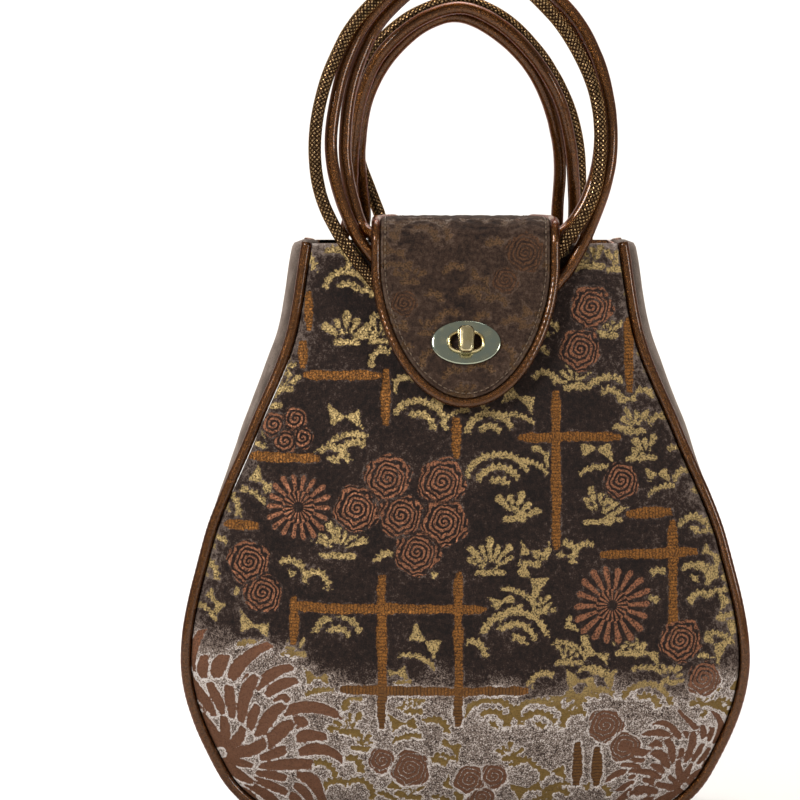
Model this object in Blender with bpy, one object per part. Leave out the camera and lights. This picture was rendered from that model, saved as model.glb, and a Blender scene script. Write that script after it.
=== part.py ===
"""Bell-shaped velvet handbag with a flap, a turn lock and two sets of rolled handles.

The frame: origin at the centre of the base, +Z up, the front faces -Y, +X to the right.
Lengths are in metres, written in millimetres times MM.
"""

import math

import bmesh
import bpy
from mathutils import Matrix, Vector
from mathutils.geometry import delaunay_2d_cdt

MM = 0.001
GAP = 0.3 * MM  # clearance between pieces that touch
PIPING_R = 2.7 * MM

# Bag outline seen from the front: heights, and the panel's half width there
BASE_LIFT = 2 * PIPING_R + GAP  # the piping's underside is level with the base
BASE_HALF_W = 70 * MM
HEEL_Z = 14 * MM
HEEL_HALF_W = 99 * MM
TURN_Z = 36 * MM
TURN_HALF_W = 121 * MM
BELLY_Z = 92 * MM
BELLY_HALF_W = 138.5 * MM
HIP_Z = 150 * MM
HIP_HALF_W = 127.5 * MM
SHOULDER_Z = 205 * MM
SHOULDER_HALF_W = 105.5 * MM
MOUTH_Z = 302 * MM
MOUTH_HALF_W = 77.5 * MM
NECK_DROP = 44 * MM
NECK_Z = MOUTH_Z - NECK_DROP
NECK_HALF_W = 84.7 * MM

# Depth of each seam behind the front, measured from the middle plane, at the same heights
BASE_SEAM = 42 * MM
TURN_SEAM = 47 * MM
BELLY_SEAM = 52 * MM
HIP_SEAM = 48 * MM
SHOULDER_SEAM = 40.5 * MM
NECK_SEAM = 32.5 * MM
MOUTH_SEAM = 26.5 * MM

# How far each panel's middle stands proud of its seam
HEEL_CROWN = 13 * MM
TURN_CROWN = 23 * MM
BELLY_CROWN = 30 * MM
HIP_CROWN = 28 * MM
SHOULDER_CROWN = 22 * MM
NECK_CROWN = 11 * MM
MOUTH_CROWN = 2.5 * MM
CROWN_POWER = 0.9

# Gusset: how far its middle stands outside the panel's outline
GUSSET_EDGE = 3 * MM
BELLY_BULGE = 5 * MM
HIP_BULGE = 5.2 * MM
SHOULDER_BULGE = 9.3 * MM
NECK_BULGE = 11 * MM
MOUTH_BULGE = 10.5 * MM
BASE_FLAT_SHARE = 0.72
BASE_BEND = 36 * MM  # over this height the flat base turns into the arched sides
ARCH_ROUND = 2.4
ARCH_POWER = 0.7
GUSSET_SHARES = (-1, -0.92, -0.83, -BASE_FLAT_SHARE, -0.36, 0.36, BASE_FLAT_SHARE, 0.83, 0.92, 1)

# Cloth and leather thicknesses
PANEL_THICK = 2.5 * MM
PILE_DEPTH = 0.8 * MM
GUSSET_THICK = 2 * MM
LINING_THICK = 0.8 * MM
TURN_EASE = 4 * MM
LINING_EASE = 1.6 * MM  # the lining hangs this far behind the panels
FACING_THICK = 1.5 * MM
FACING_HEIGHT = 32 * MM
FACING_INSET = 1 * MM
LINING_FOOT = 2 * MM  # the lining's sides stop this far above the seam's lowest point
BOARD_THICK = 2 * MM
BOARD_END_INSET = 4 * MM
BOARD_SIDE_INSET = 1 * MM
BOARD_CORNER = 12 * MM
SEAM_INSET = 0.5 * MM  # the piping's middle lies this far behind the panel's face

# Mesh spacing on the seam, on the panels and round the tubes
SEAM_STEP = 15 * MM
SEAM_SAMPLES = 400
PANEL_STEP = 24 * MM
PANEL_CLEAR = 0.3 * PANEL_STEP  # grid points keep this far from motifs and edges
PIPING_SIDES = 7
FACING_SPANS = 3
BOARD_CORNER_SPANS = 3
MOUTH_SPANS = 9
LINING_STEP = 24 * MM
LINING_COUNT = 11
ROW_POWER = 1.5  # rows lie closer together where the base turns up


def smooth_steps(points):
    """Returns a monotone cubic curve through (position, value) points, flat past its ends."""
    xs = [p[0] for p in points]
    ys = [p[1] for p in points]
    steps = [xs[i + 1] - xs[i] for i in range(len(xs) - 1)]
    slopes = [(ys[i + 1] - ys[i]) / steps[i] for i in range(len(steps))]
    tangents = [slopes[0]]
    for i in range(1, len(slopes)):
        if slopes[i - 1] * slopes[i] <= 0:
            tangents.append(0.0)
            continue
        w1 = 2 * steps[i] + steps[i - 1]
        w2 = steps[i] + 2 * steps[i - 1]
        tangents.append((w1 + w2) / (w1 / slopes[i - 1] + w2 / slopes[i]))
    tangents.append(slopes[-1])

    def value(x):
        if x <= xs[0]:
            return ys[0]
        if x >= xs[-1]:
            return ys[-1]
        i = max(k for k in range(len(steps)) if xs[k] <= x)
        t = (x - xs[i]) / steps[i]
        h00 = (1 + 2 * t) * (1 - t) ** 2
        h10 = t * (1 - t) ** 2
        h01 = t * t * (3 - 2 * t)
        h11 = t * t * (t - 1)
        return (h00 * ys[i] + h10 * steps[i] * tangents[i]
                + h01 * ys[i + 1] + h11 * steps[i] * tangents[i + 1])

    return value


half_width = smooth_steps((
    (BASE_LIFT, BASE_HALF_W), (HEEL_Z, HEEL_HALF_W), (TURN_Z, TURN_HALF_W), (BELLY_Z, BELLY_HALF_W),
    (HIP_Z, HIP_HALF_W), (SHOULDER_Z, SHOULDER_HALF_W), (NECK_Z, NECK_HALF_W), (MOUTH_Z, MOUTH_HALF_W)))
seam_depth = smooth_steps((
    (BASE_LIFT, BASE_SEAM), (TURN_Z, TURN_SEAM), (BELLY_Z, BELLY_SEAM), (HIP_Z, HIP_SEAM),
    (SHOULDER_Z, SHOULDER_SEAM), (NECK_Z, NECK_SEAM), (MOUTH_Z, MOUTH_SEAM)))
crown = smooth_steps((
    (BASE_LIFT, 0), (HEEL_Z, HEEL_CROWN), (TURN_Z, TURN_CROWN), (BELLY_Z, BELLY_CROWN),
    (HIP_Z, HIP_CROWN), (SHOULDER_Z, SHOULDER_CROWN), (NECK_Z, NECK_CROWN), (MOUTH_Z, MOUTH_CROWN)))
bulge = smooth_steps((
    (BASE_LIFT, BASE_LIFT), (TURN_Z, BELLY_BULGE), (BELLY_Z, BELLY_BULGE), (HIP_Z, HIP_BULGE),
    (SHOULDER_Z, SHOULDER_BULGE), (NECK_Z, NECK_BULGE), (MOUTH_Z, MOUTH_BULGE)))


def panel_depth(x, z):
    """Distance of a panel's outer face from the middle plane."""
    share = min(1.0, abs(x) / half_width(z))
    return seam_depth(z) + crown(z) * (1 - share * share) ** CROWN_POWER


def seam_stations():
    """Points (x, z) of the panel's outline from the left of the mouth, under the base, to the right."""
    run = [(half_width(z), z) for z in
           (BASE_LIFT + (MOUTH_Z - BASE_LIFT) * (i / SEAM_SAMPLES) ** 2 for i in range(SEAM_SAMPLES + 1))]
    lengths = [0.0]
    for a, b in zip(run, run[1:]):
        lengths.append(lengths[-1] + math.dist(a, b))
    count = round(lengths[-1] / SEAM_STEP)
    right = []
    for k in range(count + 1):
        target = lengths[-1] * k / count
        i = min(j for j in range(len(run)) if lengths[j] >= target - 1e-9)
        right.append(run[i])
    left = [(-x, z) for x, z in reversed(right)]
    return left + right


STATIONS = seam_stations()


def outward(index):
    """Outward direction (x, z) of the outline at a station."""
    a = Vector(STATIONS[max(index - 1, 0)])
    b = Vector(STATIONS[min(index + 1, len(STATIONS) - 1)])
    along = (b - a).normalized()
    return Vector((-along.y, along.x)) * -1.0


def make_material(name, colour, metallic, roughness):
    """A Principled material of one linear colour."""
    material = bpy.data.materials.new(name)
    material.use_nodes = True
    shader = material.node_tree.nodes["Principled BSDF"]
    shader.inputs["Base Color"].default_value = (*colour, 1.0)
    shader.inputs["Metallic"].default_value = metallic
    shader.inputs["Roughness"].default_value = roughness
    material.diffuse_color = (*colour, 1.0)
    return material


def link(obj, *materials):
    """Adds an object to the scene with its materials."""
    for material in materials:
        obj.data.materials.append(material)
    bpy.context.scene.collection.objects.link(obj)
    return obj


def mesh_object(name, bm, *materials, smooth_angle=35):
    """Turns a closed bmesh into an object with outward faces and smooth round stretches."""
    bmesh.ops.recalc_face_normals(bm, faces=bm.faces)
    mesh = bpy.data.meshes.new(name)
    bm.to_mesh(mesh)
    bm.free()
    mesh.shade_smooth()
    mesh.set_sharp_from_angle(angle=math.radians(smooth_angle))
    return link(bpy.data.objects.new(name, mesh), *materials)


def add_loops(bm, loops, capped=True):
    """Joins equal rings of points with quads, and caps both ends if asked."""
    rows = [[bm.verts.new(p) for p in loop] for loop in loops]
    count = len(rows[0])
    for a, b in zip(rows, rows[1:]):
        for k in range(count):
            m = (k + 1) % count
            bm.faces.new((a[k], a[m], b[m], b[k]))
    if capped:
        bm.faces.new(rows[0])
        bm.faces.new(list(reversed(rows[-1])))
    return rows


def add_shell(bm, outer_loops, inner_loops, floor):
    """A cup or a band from outer and inner rings: its rims are closed, and its floor if asked."""
    outer = add_loops(bm, outer_loops, capped=False)
    inner = add_loops(bm, inner_loops, capped=False)
    count = len(outer[0])
    for k in range(count):
        m = (k + 1) % count
        bm.faces.new((outer[-1][k], outer[-1][m], inner[-1][m], inner[-1][k]))
        if not floor:
            bm.faces.new((outer[0][k], outer[0][m], inner[0][m], inner[0][k]))
    if floor:
        bm.faces.new(outer[0])
        bm.faces.new(inner[0])


def cut(obj, cutter):
    """Cuts a hidden cutter out of an object."""
    modifier = obj.modifiers.new("cut", "BOOLEAN")
    modifier.operation = "DIFFERENCE"
    modifier.solver = "EXACT"
    modifier.object = cutter


# Foil motifs, sunk into the pile: the same kinds lie on both panels
BAR_W = 4.5 * MM
BLOOM_R = 10.5 * MM
BLOOM_DIP = 0.86  # radius between two petals, as a share of the bloom's
BLOOM_PETALS = 5
BLOOM_TURN = 18
DAISY_DIP = 0.62
DAISY_PETALS = 9
LEAF_LOBES = 4
LEAF_LOBE_REACH = 0.95
LEAF_NOTCH_REACH = 0.62
LEAF_SPREAD = 190
MOTIF_MARGIN = 3.5 * MM

# Crossed fence bars: centre x, centre z, length, turn in degrees from level, all in millimetres
BARS = (
    (-42, 121, 94, 0), (-16, 82, 90, 0), (-43, 101, 74, 90), (-4, 102, 76, 90),
    (45, 190, 74, 90), (53, 206, 48, 0), (-61, 238, 36, 0), (-96, 196, 26, 0),
    (94, 150, 50, 0), (104, 140, 56, 90))

# Round blossoms, in clusters
BLOOMS = (
    (-37, 189), (-12, 188), (-55, 170), (-25, 167), (-41, 150),
    (-111, 146), (-101, 124), (66, 270), (56, 248), (80, 184), (100, 100), (122, 96))

# Daisy heads and leafy fans: centre x, centre z, size, turn in degrees
DAISIES = ((-84, 168, 14, 0), (72, 118, 17, 12), (-98, 66, 27, 8), (60, 48, 20, 0))
LEAVES = (
    (-70, 143, 17, 80), (-60, 268, 13, 40), (17, 202, 18, 100), (16, 150, 19, 70), (72, 164, 14, 40),
    (36, 108, 19, 120), (-66, 101, 14, 60), (-22, 102, 13, 100), (-20, 208, 12, 160), (18, 52, 17, 90),
    (-42, 50, 17, 100), (-78, 215, 14, 30), (70, 224, 13, 90), (94, 62, 16, 50), (-122, 98, 11, 90))


def heading(turn):
    """Direction (x, z) at a turn in degrees from level."""
    return Vector((math.cos(math.radians(turn)), math.sin(math.radians(turn))))


def bar_outline(x, z, length, turn):
    """A fence bar: a thin rectangle."""
    along = heading(turn) * (length * MM / 2)
    across = Vector((-along.y, along.x)).normalized() * (BAR_W / 2)
    centre = Vector((x, z)) * MM
    return [centre - along - across, centre + along - across,
            centre + along + across, centre - along + across]


def lobed_outline(x, z, outer, inner, lobes, turn):
    """A ring of petals: the radius goes in and out once for each lobe."""
    points = []
    for k in range(2 * lobes):
        radius = inner if k % 2 else outer
        points.append(Vector((x, z)) * MM + heading(turn + 180 * k / lobes) * radius)
    return points


def leaf_outline(x, z, size, turn):
    """A leafy fan: lobes along its upper edge, pointed at its foot."""
    centre = Vector((x, z)) * MM
    points = [centre - heading(turn) * size * MM / 2]
    for k in range(2 * LEAF_LOBES + 1):
        share = k / (2 * LEAF_LOBES) - 0.5
        reach = LEAF_LOBE_REACH if k % 2 else LEAF_NOTCH_REACH
        points.append(centre + heading(turn + LEAF_SPREAD * share) * size * MM * reach)
    return points


def motif_outlines():
    """All motif outlines as (kind, points), 0 for copper and 1 for gold."""
    found = [(0, bar_outline(*bar)) for bar in BARS]
    found += [(0, lobed_outline(x, z, BLOOM_R, BLOOM_R * BLOOM_DIP, BLOOM_PETALS, BLOOM_TURN))
              for x, z in BLOOMS]
    found += [(0, lobed_outline(x, z, size * MM, size * MM * DAISY_DIP, DAISY_PETALS, turn))
              for x, z, size, turn in DAISIES]
    found += [(1, leaf_outline(*leaf)) for leaf in LEAVES]
    kept = []
    for kind, points in found:
        if all(abs(p.x) < half_width(p.y) - MOTIF_MARGIN and
               BASE_LIFT + MOTIF_MARGIN < p.y < MOUTH_Z - MOTIF_MARGIN for p in points):
            kept.append((kind, points))
    return kept


def grid_inside(step, margin, edges):
    """Points on a grid inside the panel's outline that keep a margin to the given edges."""
    points = []
    rows = int((MOUTH_Z - BASE_LIFT) / step)
    for row in range(1, rows + 1):
        z = BASE_LIFT + (MOUTH_Z - BASE_LIFT) * (row / (rows + 1)) ** ROW_POWER
        columns = int(2 * half_width(z) / step)
        for column in range(1, columns + 1):
            x = half_width(z) * (2 * column / (columns + 1) - 1)
            p = Vector((x, z))
            if all(distance_to_edge(p, a, b) > margin for a, b in edges):
                points.append(p)
    return points


def distance_to_edge(p, a, b):
    """Distance of a point from the segment a-b."""
    along = b - a
    t = max(0.0, min(1.0, (p - a).dot(along) / along.length_squared))
    return (p - a - along * t).length


def triangulate(outlines, points):
    """Triangles of the first outline, cut along all others: (places, faces, faces' input outlines)."""
    places = []
    loops = []
    for outline in outlines:
        loops.append(list(range(len(places), len(places) + len(outline))))
        places += outline
    places += points
    result = delaunay_2d_cdt(places, [], loops, 1, 1e-7, True)
    return result[0], result[2], result[5]


def panel_object(name, side, motifs, *materials):
    """A velvet panel: side -1 is the front. Its motifs are sunk into the outer face."""
    mouth = [(MOUTH_HALF_W * math.cos(math.pi * k / MOUTH_SPANS), MOUTH_Z) for k in range(1, MOUTH_SPANS)]
    outline = [Vector(p) for p in STATIONS + mouth]
    shapes = [outline] + [points for _, points in motifs]
    edges = [(s[k], s[(k + 1) % len(s)]) for s in shapes for k in range(len(s))]
    places, faces, origins = triangulate(shapes, grid_inside(PANEL_STEP, PANEL_CLEAR, edges))
    bm = bmesh.new()

    def corner(p, depth):
        return bm.verts.new((p.x, side * (panel_depth(p.x, p.y) - depth), p.y))

    proud = {}
    sunk = {}
    border = {}
    for face, owners in zip(faces, origins):
        if 0 not in owners:
            continue
        inside = [owner for owner in owners if owner > 0]
        level, depth = (sunk, PILE_DEPTH) if inside else (proud, 0.0)
        for index in face:
            if index not in level:
                level[index] = corner(places[index], depth)
        made = bm.faces.new([level[index] for index in face])
        made.material_index = 1 + motifs[inside[-1] - 1][0] if inside else 0
        for a, b in zip(face, [*face[1:], face[0]]):
            border.setdefault(frozenset((a, b)), []).append(bool(inside))
    for edge, sides in border.items():
        if sides.count(True) == 1 and len(sides) == 2:
            a, b = edge
            bm.faces.new((proud[a], proud[b], sunk[b], sunk[a]))
    rim = {tuple(round(c, 7) for c in places[index]): vert for index, vert in proud.items()}
    rim_verts = [rim[tuple(round(c, 7) for c in p)] for p in outline]
    inner_edges = [(outline[k], outline[(k + 1) % len(outline)]) for k in range(len(outline))]
    places, faces, origins = triangulate([outline], grid_inside(PANEL_STEP, PANEL_CLEAR, inner_edges))
    inner = [corner(p, PANEL_THICK) for p in places]
    for face, owners in zip(faces, origins):
        if 0 in owners:
            bm.faces.new([inner[index] for index in face])
    inner_at = {tuple(round(c, 7) for c in p): inner[k] for k, p in enumerate(places)}
    inner_verts = [inner_at[tuple(round(c, 7) for c in p)] for p in outline]
    for k in range(len(outline)):
        m = (k + 1) % len(outline)
        bm.faces.new((rim_verts[k], rim_verts[m], inner_verts[m], inner_verts[k]))
    return mesh_object(name, bm, *materials, smooth_angle=25)


def gusset_object(name, material):
    """The strip between the two panels, round the sides and under the base, where it is flat."""
    end = PIPING_R + GAP + SEAM_INSET
    bm = bmesh.new()
    loops = []
    for index, (x, z) in enumerate(STATIONS):
        direction = outward(index)
        half = seam_depth(z) - end
        middle = bulge(z) - GUSSET_EDGE
        blend = min(1.0, (z - BASE_LIFT) / BASE_BEND)
        loop = []
        for depth, order in ((0.0, GUSSET_SHARES), (GUSSET_THICK, GUSSET_SHARES[::-1])):
            for share in order:
                reach = abs(share)
                level = 1 - (max(0.0, reach - BASE_FLAT_SHARE) / (1 - BASE_FLAT_SHARE)) ** 2
                arch = (1 - reach ** ARCH_ROUND) ** ARCH_POWER
                height = GUSSET_EDGE + middle * (level * (1 - blend) + arch * blend) - depth
                loop.append((x + direction.x * height, share * half, z + direction.y * height))
        loops.append(loop)
    add_loops(bm, loops)
    return mesh_object(name, bm, material)


def seam_tube(name, side, material):
    """Piping along a panel's seam."""
    bm = bmesh.new()
    loops = []
    for index, (x, z) in enumerate(STATIONS):
        direction = outward(index)
        centre = Vector((x, side * (seam_depth(z) - SEAM_INSET), z))
        out = Vector((direction.x, 0, direction.y))
        centre += out * (PIPING_R + GAP)
        loops.append([centre + (out * math.cos(a) + Vector((0, side, 0)) * math.sin(a)) * PIPING_R
                      for a in (2 * math.pi * k / PIPING_SIDES for k in range(PIPING_SIDES))])
    add_loops(bm, loops)
    return mesh_object(name, bm, material, smooth_angle=60)


# Flap: the side view of its inner face, as corners (y, z) that arcs round off
FLAP_ROOT_DROP = 44 * MM
FLAP_ROOT_Z = MOUTH_Z - FLAP_ROOT_DROP
FLAP_ROOT_Y = seam_depth(FLAP_ROOT_Z) + crown(FLAP_ROOT_Z) + GAP
FLAP_RISE = 9.5 * MM
FLAP_BACK_Y = 28 * MM
FLAP_FRONT_Y = -38.5 * MM
FLAP_BREAK_DROP = 17 * MM
FLAP_BREAK = (-42.5 * MM, MOUTH_Z - FLAP_BREAK_DROP)
FLAP_TIP_DROP = 81 * MM
FLAP_TIP_Z = MOUTH_Z - FLAP_TIP_DROP
FLAP_CORNER_R = 11 * MM
FLAP_SOFT_R = 40 * MM
FLAP_LINER = 1 * MM
FLAP_VELVET = 2 * MM
FLAP_PIPING_R = 2.4 * MM
FLAP_HALF_W = 47.5 * MM
FLAP_ROOT_HALF_W = 34 * MM
TONGUE_LENGTH = 73 * MM
TONGUE_POWER = 1.75
FLAP_WAIST_START = 125 * MM  # from the tip to where the flap starts to narrow behind
FLAP_JOIN = 0.8  # the flap runs straight past the lock up to this many plate heights above it
TONGUE_ROWS = 12
FLAP_ROWS = 18
FLAP_SAMPLES = 240

# Turn lock: where its axis meets the front panel, its tilt, and its stack along the axis
LOCK_DROP = 52 * MM
LOCK_Z = MOUTH_Z - LOCK_DROP
LOCK_TILT = math.radians(20)
LOCK_STANDOFF = 6.3 * MM  # from the panel to the flap's inner face
BASE_PLATE_R = 8 * MM
BASE_PLATE_THICK = 1.5 * MM
BOSS_R = 4.2 * MM
BOSS_TOP = 8.5 * MM
STEM_R = 2.5 * MM
BORE_SINK = 0.3 * MM  # the boss's bore goes this far into the base plate
BACKPLATE_THICK = 1 * MM
BACKPLATE_INSET = 1 * MM
BACKPLATE_BEVEL = 0.2 * MM
PLATE_W = 35 * MM
PLATE_H = 23 * MM
PLATE_THICK = 1.2 * MM
PLATE_BEVEL = 0.4 * MM
SLOT_W = 15 * MM
SLOT_H = 8.6 * MM
SLOT_POWER = 2.6
EYELET_BAND = 2 * MM
EYELET_THICK = 1.6 * MM
EYELET_BEVEL = 0.5 * MM
EYELET_POWER = 2.3
KNOB_LONG = 14 * MM
KNOB_WIDE = 7.5 * MM
KNOB_THICK = 6 * MM
KNOB_POWER = 2.4
# Shares of the knob's width, length and thickness from its foot to its top
KNOB_SECTION = ((0.8, 0.78, 0), (1, 1, 0.3), (1, 1, 0.7), (0.7, 0.84, 1))
RIVET_R = 1.5 * MM
RIVET_HEAD_R = 4 * MM
RIVET_HEAD = 1 * MM
WASHER_R = 6 * MM
WASHER_THICK = 0.8 * MM
WASHER_BEVEL = 0.1 * MM
LOCK_SIDES = 24

# Rolled handles and their leather end pieces: each tab is set by the middle of the face where the
# handles end, the handles' heading there in degrees from level, its length and its width
HANDLE_R = 3.3 * MM
HANDLE_COUNT = 40
HANDLE_STEP = 7.7 * MM  # from one handle to the next where they end
HANDLE_LIFT = HANDLE_R + 2 * GAP  # from the panel to the middle of a handle
TAB_THICK = 5 * MM
TAB_LENGTH = 16 * MM
TAB_WIDTH = 25 * MM
TAB_SPANS = 3
FRONT_TAB_DROP = 25.5 * MM
BACK_TAB_DROP = 18 * MM
FRONT_TAB = (31.5 * MM, MOUTH_Z - FRONT_TAB_DROP, 50)
BACK_TAB = (59 * MM, MOUTH_Z - BACK_TAB_DROP, 90)
ROUTE_SPANS = 8


def plan_ring(z, depth, side_inset, count):
    """A level ring inside the bag, at a depth behind both panels' faces. It rides up in the base's turn."""
    shape_z = max(BASE_LIFT, z - TURN_EASE * max(0.0, 1 - z / BELLY_Z))
    half = half_width(shape_z) - side_inset
    front = []
    for k in range(count + 1):
        x = -half * math.cos(math.pi * k / count)
        front.append((x, -(panel_depth(x, shape_z) - depth), z))
    return front + [(-x, -y, z) for x, y, z in front]


def bag_levels(bottom, top, step):
    """Heights from bottom to top, closer together where the base turns up."""
    count = round((top - bottom) / step)
    return [bottom + (top - bottom) * (k / count) ** ROW_POWER for k in range(count + 1)]


def lining_object(name, material):
    """The inner bag: it lies just behind the panels and stands on the base board."""
    floor = GUSSET_THICK + 2 * GAP + BOARD_THICK
    top = MOUTH_Z - FACING_HEIGHT - GAP
    outer_depth = PANEL_THICK + LINING_EASE
    foot_inset = BASE_SEAM - board_half_depth()
    outer = []
    inner = []
    levels = bag_levels(BASE_LIFT + LINING_FOOT, top, LINING_STEP)
    for depth, inset, floor_z, rings in (
            (outer_depth, LINING_EASE, floor, outer),
            (outer_depth + LINING_THICK, LINING_EASE + LINING_THICK, floor + LINING_THICK, inner)):
        foot = plan_ring(BASE_LIFT, foot_inset, inset + LINING_FOOT, LINING_COUNT)
        rings.append([(x, y, floor_z) for x, y, _ in foot])
        rings += [plan_ring(z, depth, inset, LINING_COUNT) for z in levels]
    bm = bmesh.new()
    add_shell(bm, outer, inner, floor=True)
    return mesh_object(name, bm, material)


def facing_object(name, material):
    """The band inside the mouth, above the lining."""
    levels = [MOUTH_Z - FACING_HEIGHT * (1 - k / FACING_SPANS) for k in range(FACING_SPANS + 1)]
    near = PANEL_THICK + 2 * GAP
    outer, inner = ([plan_ring(z, near + depth, FACING_INSET + depth, LINING_COUNT) for z in levels]
                    for depth in (0.0, FACING_THICK))
    bm = bmesh.new()
    add_shell(bm, outer, inner, floor=False)
    return mesh_object(name, bm, material)


def board_half_depth():
    """Half the depth of the flat in the gusset, on which the base board lies."""
    return (BASE_SEAM - PIPING_R - GAP - SEAM_INSET) * BASE_FLAT_SHARE


def board_object(name, material):
    """The stiffener in the base, with round corners."""
    half_x = BASE_HALF_W - BOARD_END_INSET
    half_y = board_half_depth() - BOARD_SIDE_INSET
    low = GUSSET_THICK + GAP
    ring = []
    for quarter in range(4):
        centre = Vector(((half_x - BOARD_CORNER) * (1 if quarter in (0, 3) else -1),
                         (half_y - BOARD_CORNER) * (1 if quarter in (0, 1) else -1)))
        for k in range(BOARD_CORNER_SPANS + 1):
            ring.append(centre + heading(90 * (quarter + k / BOARD_CORNER_SPANS)) * BOARD_CORNER)
    bm = bmesh.new()
    add_loops(bm, [[(x, y, z) for x, y in ring] for z in (low, low + BOARD_THICK)])
    return mesh_object(name, bm, material)


def rounded_path(corners, radii, step):
    """A path through corners, each rounded by an arc of its radius, with points a step apart or less."""
    path = [Vector(corners[0])]
    for k in range(1, len(corners) - 1):
        before, here, after = (Vector(corners[k + i]) for i in (-1, 0, 1))
        a = (before - here).normalized()
        b = (after - here).normalized()
        turn = math.pi - a.angle(b)
        reach = radii[k - 1] * math.tan(turn / 2)
        centre = here + (a + b).normalized() * (radii[k - 1] / math.cos(turn / 2))
        start = here + a * reach - centre
        end = here + b * reach - centre
        count = max(2, math.ceil(radii[k - 1] * turn / step))
        for i in range(count + 1):
            path.append(centre + start.slerp(end, i / count).normalized() * radii[k - 1])
    path.append(Vector(corners[-1]))
    return path


def resample(path, count):
    """Equally spaced points along a path."""
    lengths = [0.0]
    for a, b in zip(path, path[1:]):
        lengths.append(lengths[-1] + (b - a).length)
    points = []
    for k in range(count):
        target = lengths[-1] * k / (count - 1)
        i = max(j for j in range(len(path) - 1) if lengths[j] <= target + 1e-12)
        share = (target - lengths[i]) / (lengths[i + 1] - lengths[i])
        points.append(path[i].lerp(path[i + 1], share))
    return points


def lock_origin():
    """Where the lock's axis meets the front panel."""
    return Vector((0, -panel_depth(0, LOCK_Z), LOCK_Z))


def flap_profile():
    """Side view (y, z) of the flap's inner face, from its root at the back to its tip."""
    slope = math.tan(LOCK_TILT)
    standoff = LOCK_STANDOFF / math.cos(LOCK_TILT)
    lock = lock_origin()

    def straight(z):
        return lock.y - standoff - (LOCK_Z - z) * slope

    top = MOUTH_Z + FLAP_RISE
    join = LOCK_Z + FLAP_JOIN * PLATE_H
    corners = [(FLAP_ROOT_Y, FLAP_ROOT_Z), (FLAP_BACK_Y, top), (FLAP_FRONT_Y, top), FLAP_BREAK,
               (straight(join), join), (straight(FLAP_TIP_Z), FLAP_TIP_Z)]
    radii = (FLAP_CORNER_R, FLAP_CORNER_R, FLAP_SOFT_R, FLAP_SOFT_R)
    return rounded_path(corners, radii, 2 * MM)


class FlapCurve:
    """The flap's side view by length from its tip, with its directions and its plan outline."""

    def __init__(self):
        self.path = resample(flap_profile(), FLAP_SAMPLES)[::-1]
        self.lengths = [0.0]
        for a, b in zip(self.path, self.path[1:]):
            self.lengths.append(self.lengths[-1] + (b - a).length)
        self.total = self.lengths[-1]

    def place(self, length):
        """Point (y, z), direction towards the root, and outward direction at a length from the tip."""
        step = self.lengths[1]
        k = min(max(length / step, 0.0), len(self.path) - 1.001)
        i = int(k)
        here = self.path[i].lerp(self.path[i + 1], k - i)
        along = (self.path[min(i + 3, len(self.path) - 1)] - self.path[max(i - 3, 0)]).normalized()
        return here, along, Vector((along.y, -along.x)) * -1.0

    def half(self, length):
        """Half width, piping included: a tongue at the front, narrower again down the back."""
        if length < TONGUE_LENGTH:
            share = 1 - length / TONGUE_LENGTH
            return FLAP_HALF_W * math.sqrt(1 - share ** TONGUE_POWER)
        back = (length - FLAP_WAIST_START) / (self.total - FLAP_WAIST_START)
        back = max(0.0, min(1.0, back * 2))
        return FLAP_HALF_W + (FLAP_ROOT_HALF_W - FLAP_HALF_W) * back * back * (3 - 2 * back)

    def outline(self, inset):
        """Right-hand outline (x, length) from the tip to the root, moved inwards by an inset."""
        lengths = [TONGUE_LENGTH * (1 - math.cos(math.pi / 2 * k / TONGUE_ROWS))
                   for k in range(TONGUE_ROWS)]
        rest = self.total - TONGUE_LENGTH
        lengths += [TONGUE_LENGTH + rest * k / FLAP_ROWS for k in range(FLAP_ROWS + 1)]
        edge = [Vector((self.half(length), length)) for length in lengths]
        moved = []
        for k, here in enumerate(edge):
            before = edge[k - 1] if k else Vector((-edge[1].x, edge[1].y))
            after = edge[min(k + 1, len(edge) - 1)]
            along = (after - before).normalized()
            moved.append(here + Vector((-along.y, along.x)) * inset)
        moved[-1].y = self.total
        return moved

    def point(self, x, length, lift):
        """A point of the flap at a height over its inner face."""
        here, _, out = self.place(length)
        at = here + out * lift
        return Vector((x, at.x, at.y))


def flap_sheet(name, curve, low, high, material):
    """One layer of the flap, between two heights over its inner face."""
    inset = 2 * FLAP_PIPING_R + GAP
    bm = bmesh.new()
    loops = []
    for x, length in curve.outline(inset)[1:]:
        loops.append([curve.point(-x, length, low), curve.point(x, length, low),
                      curve.point(x, length, high), curve.point(-x, length, high)])
    add_loops(bm, loops)
    return mesh_object(name, bm, material)


def flap_edge(name, curve, material):
    """Piping round the flap's edge, from its root round the tip and back."""
    half = curve.outline(FLAP_PIPING_R)
    lift = (FLAP_LINER + GAP + FLAP_VELVET) / 2
    path = [(-x, length) for x, length in reversed(half[1:])] + [(x, length) for x, length in half]
    points = [curve.point(x, length, lift) for x, length in path]
    bm = bmesh.new()
    loops = []
    for k, here in enumerate(points):
        along = (points[min(k + 1, len(points) - 1)] - points[max(k - 1, 0)]).normalized()
        _, _, out = curve.place(path[k][1])
        up = Vector((0, out.x, out.y))
        side = along.cross(up).normalized()
        loops.append([here + (side * math.cos(a) + up * math.sin(a)) * FLAP_PIPING_R
                      for a in (2 * math.pi * i / PIPING_SIDES for i in range(PIPING_SIDES))])
    add_loops(bm, loops)
    return mesh_object(name, bm, material, smooth_angle=60)


def lock_frame():
    """The lock's own frame: Z along its axis, outwards, X to the right."""
    axis = Vector((0, -math.cos(LOCK_TILT), math.sin(LOCK_TILT)))
    right = Vector((1, 0, 0))
    up = axis.cross(right)
    frame = Matrix((right, up, axis)).transposed().to_4x4()
    frame.translation = lock_origin()
    return frame


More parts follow.
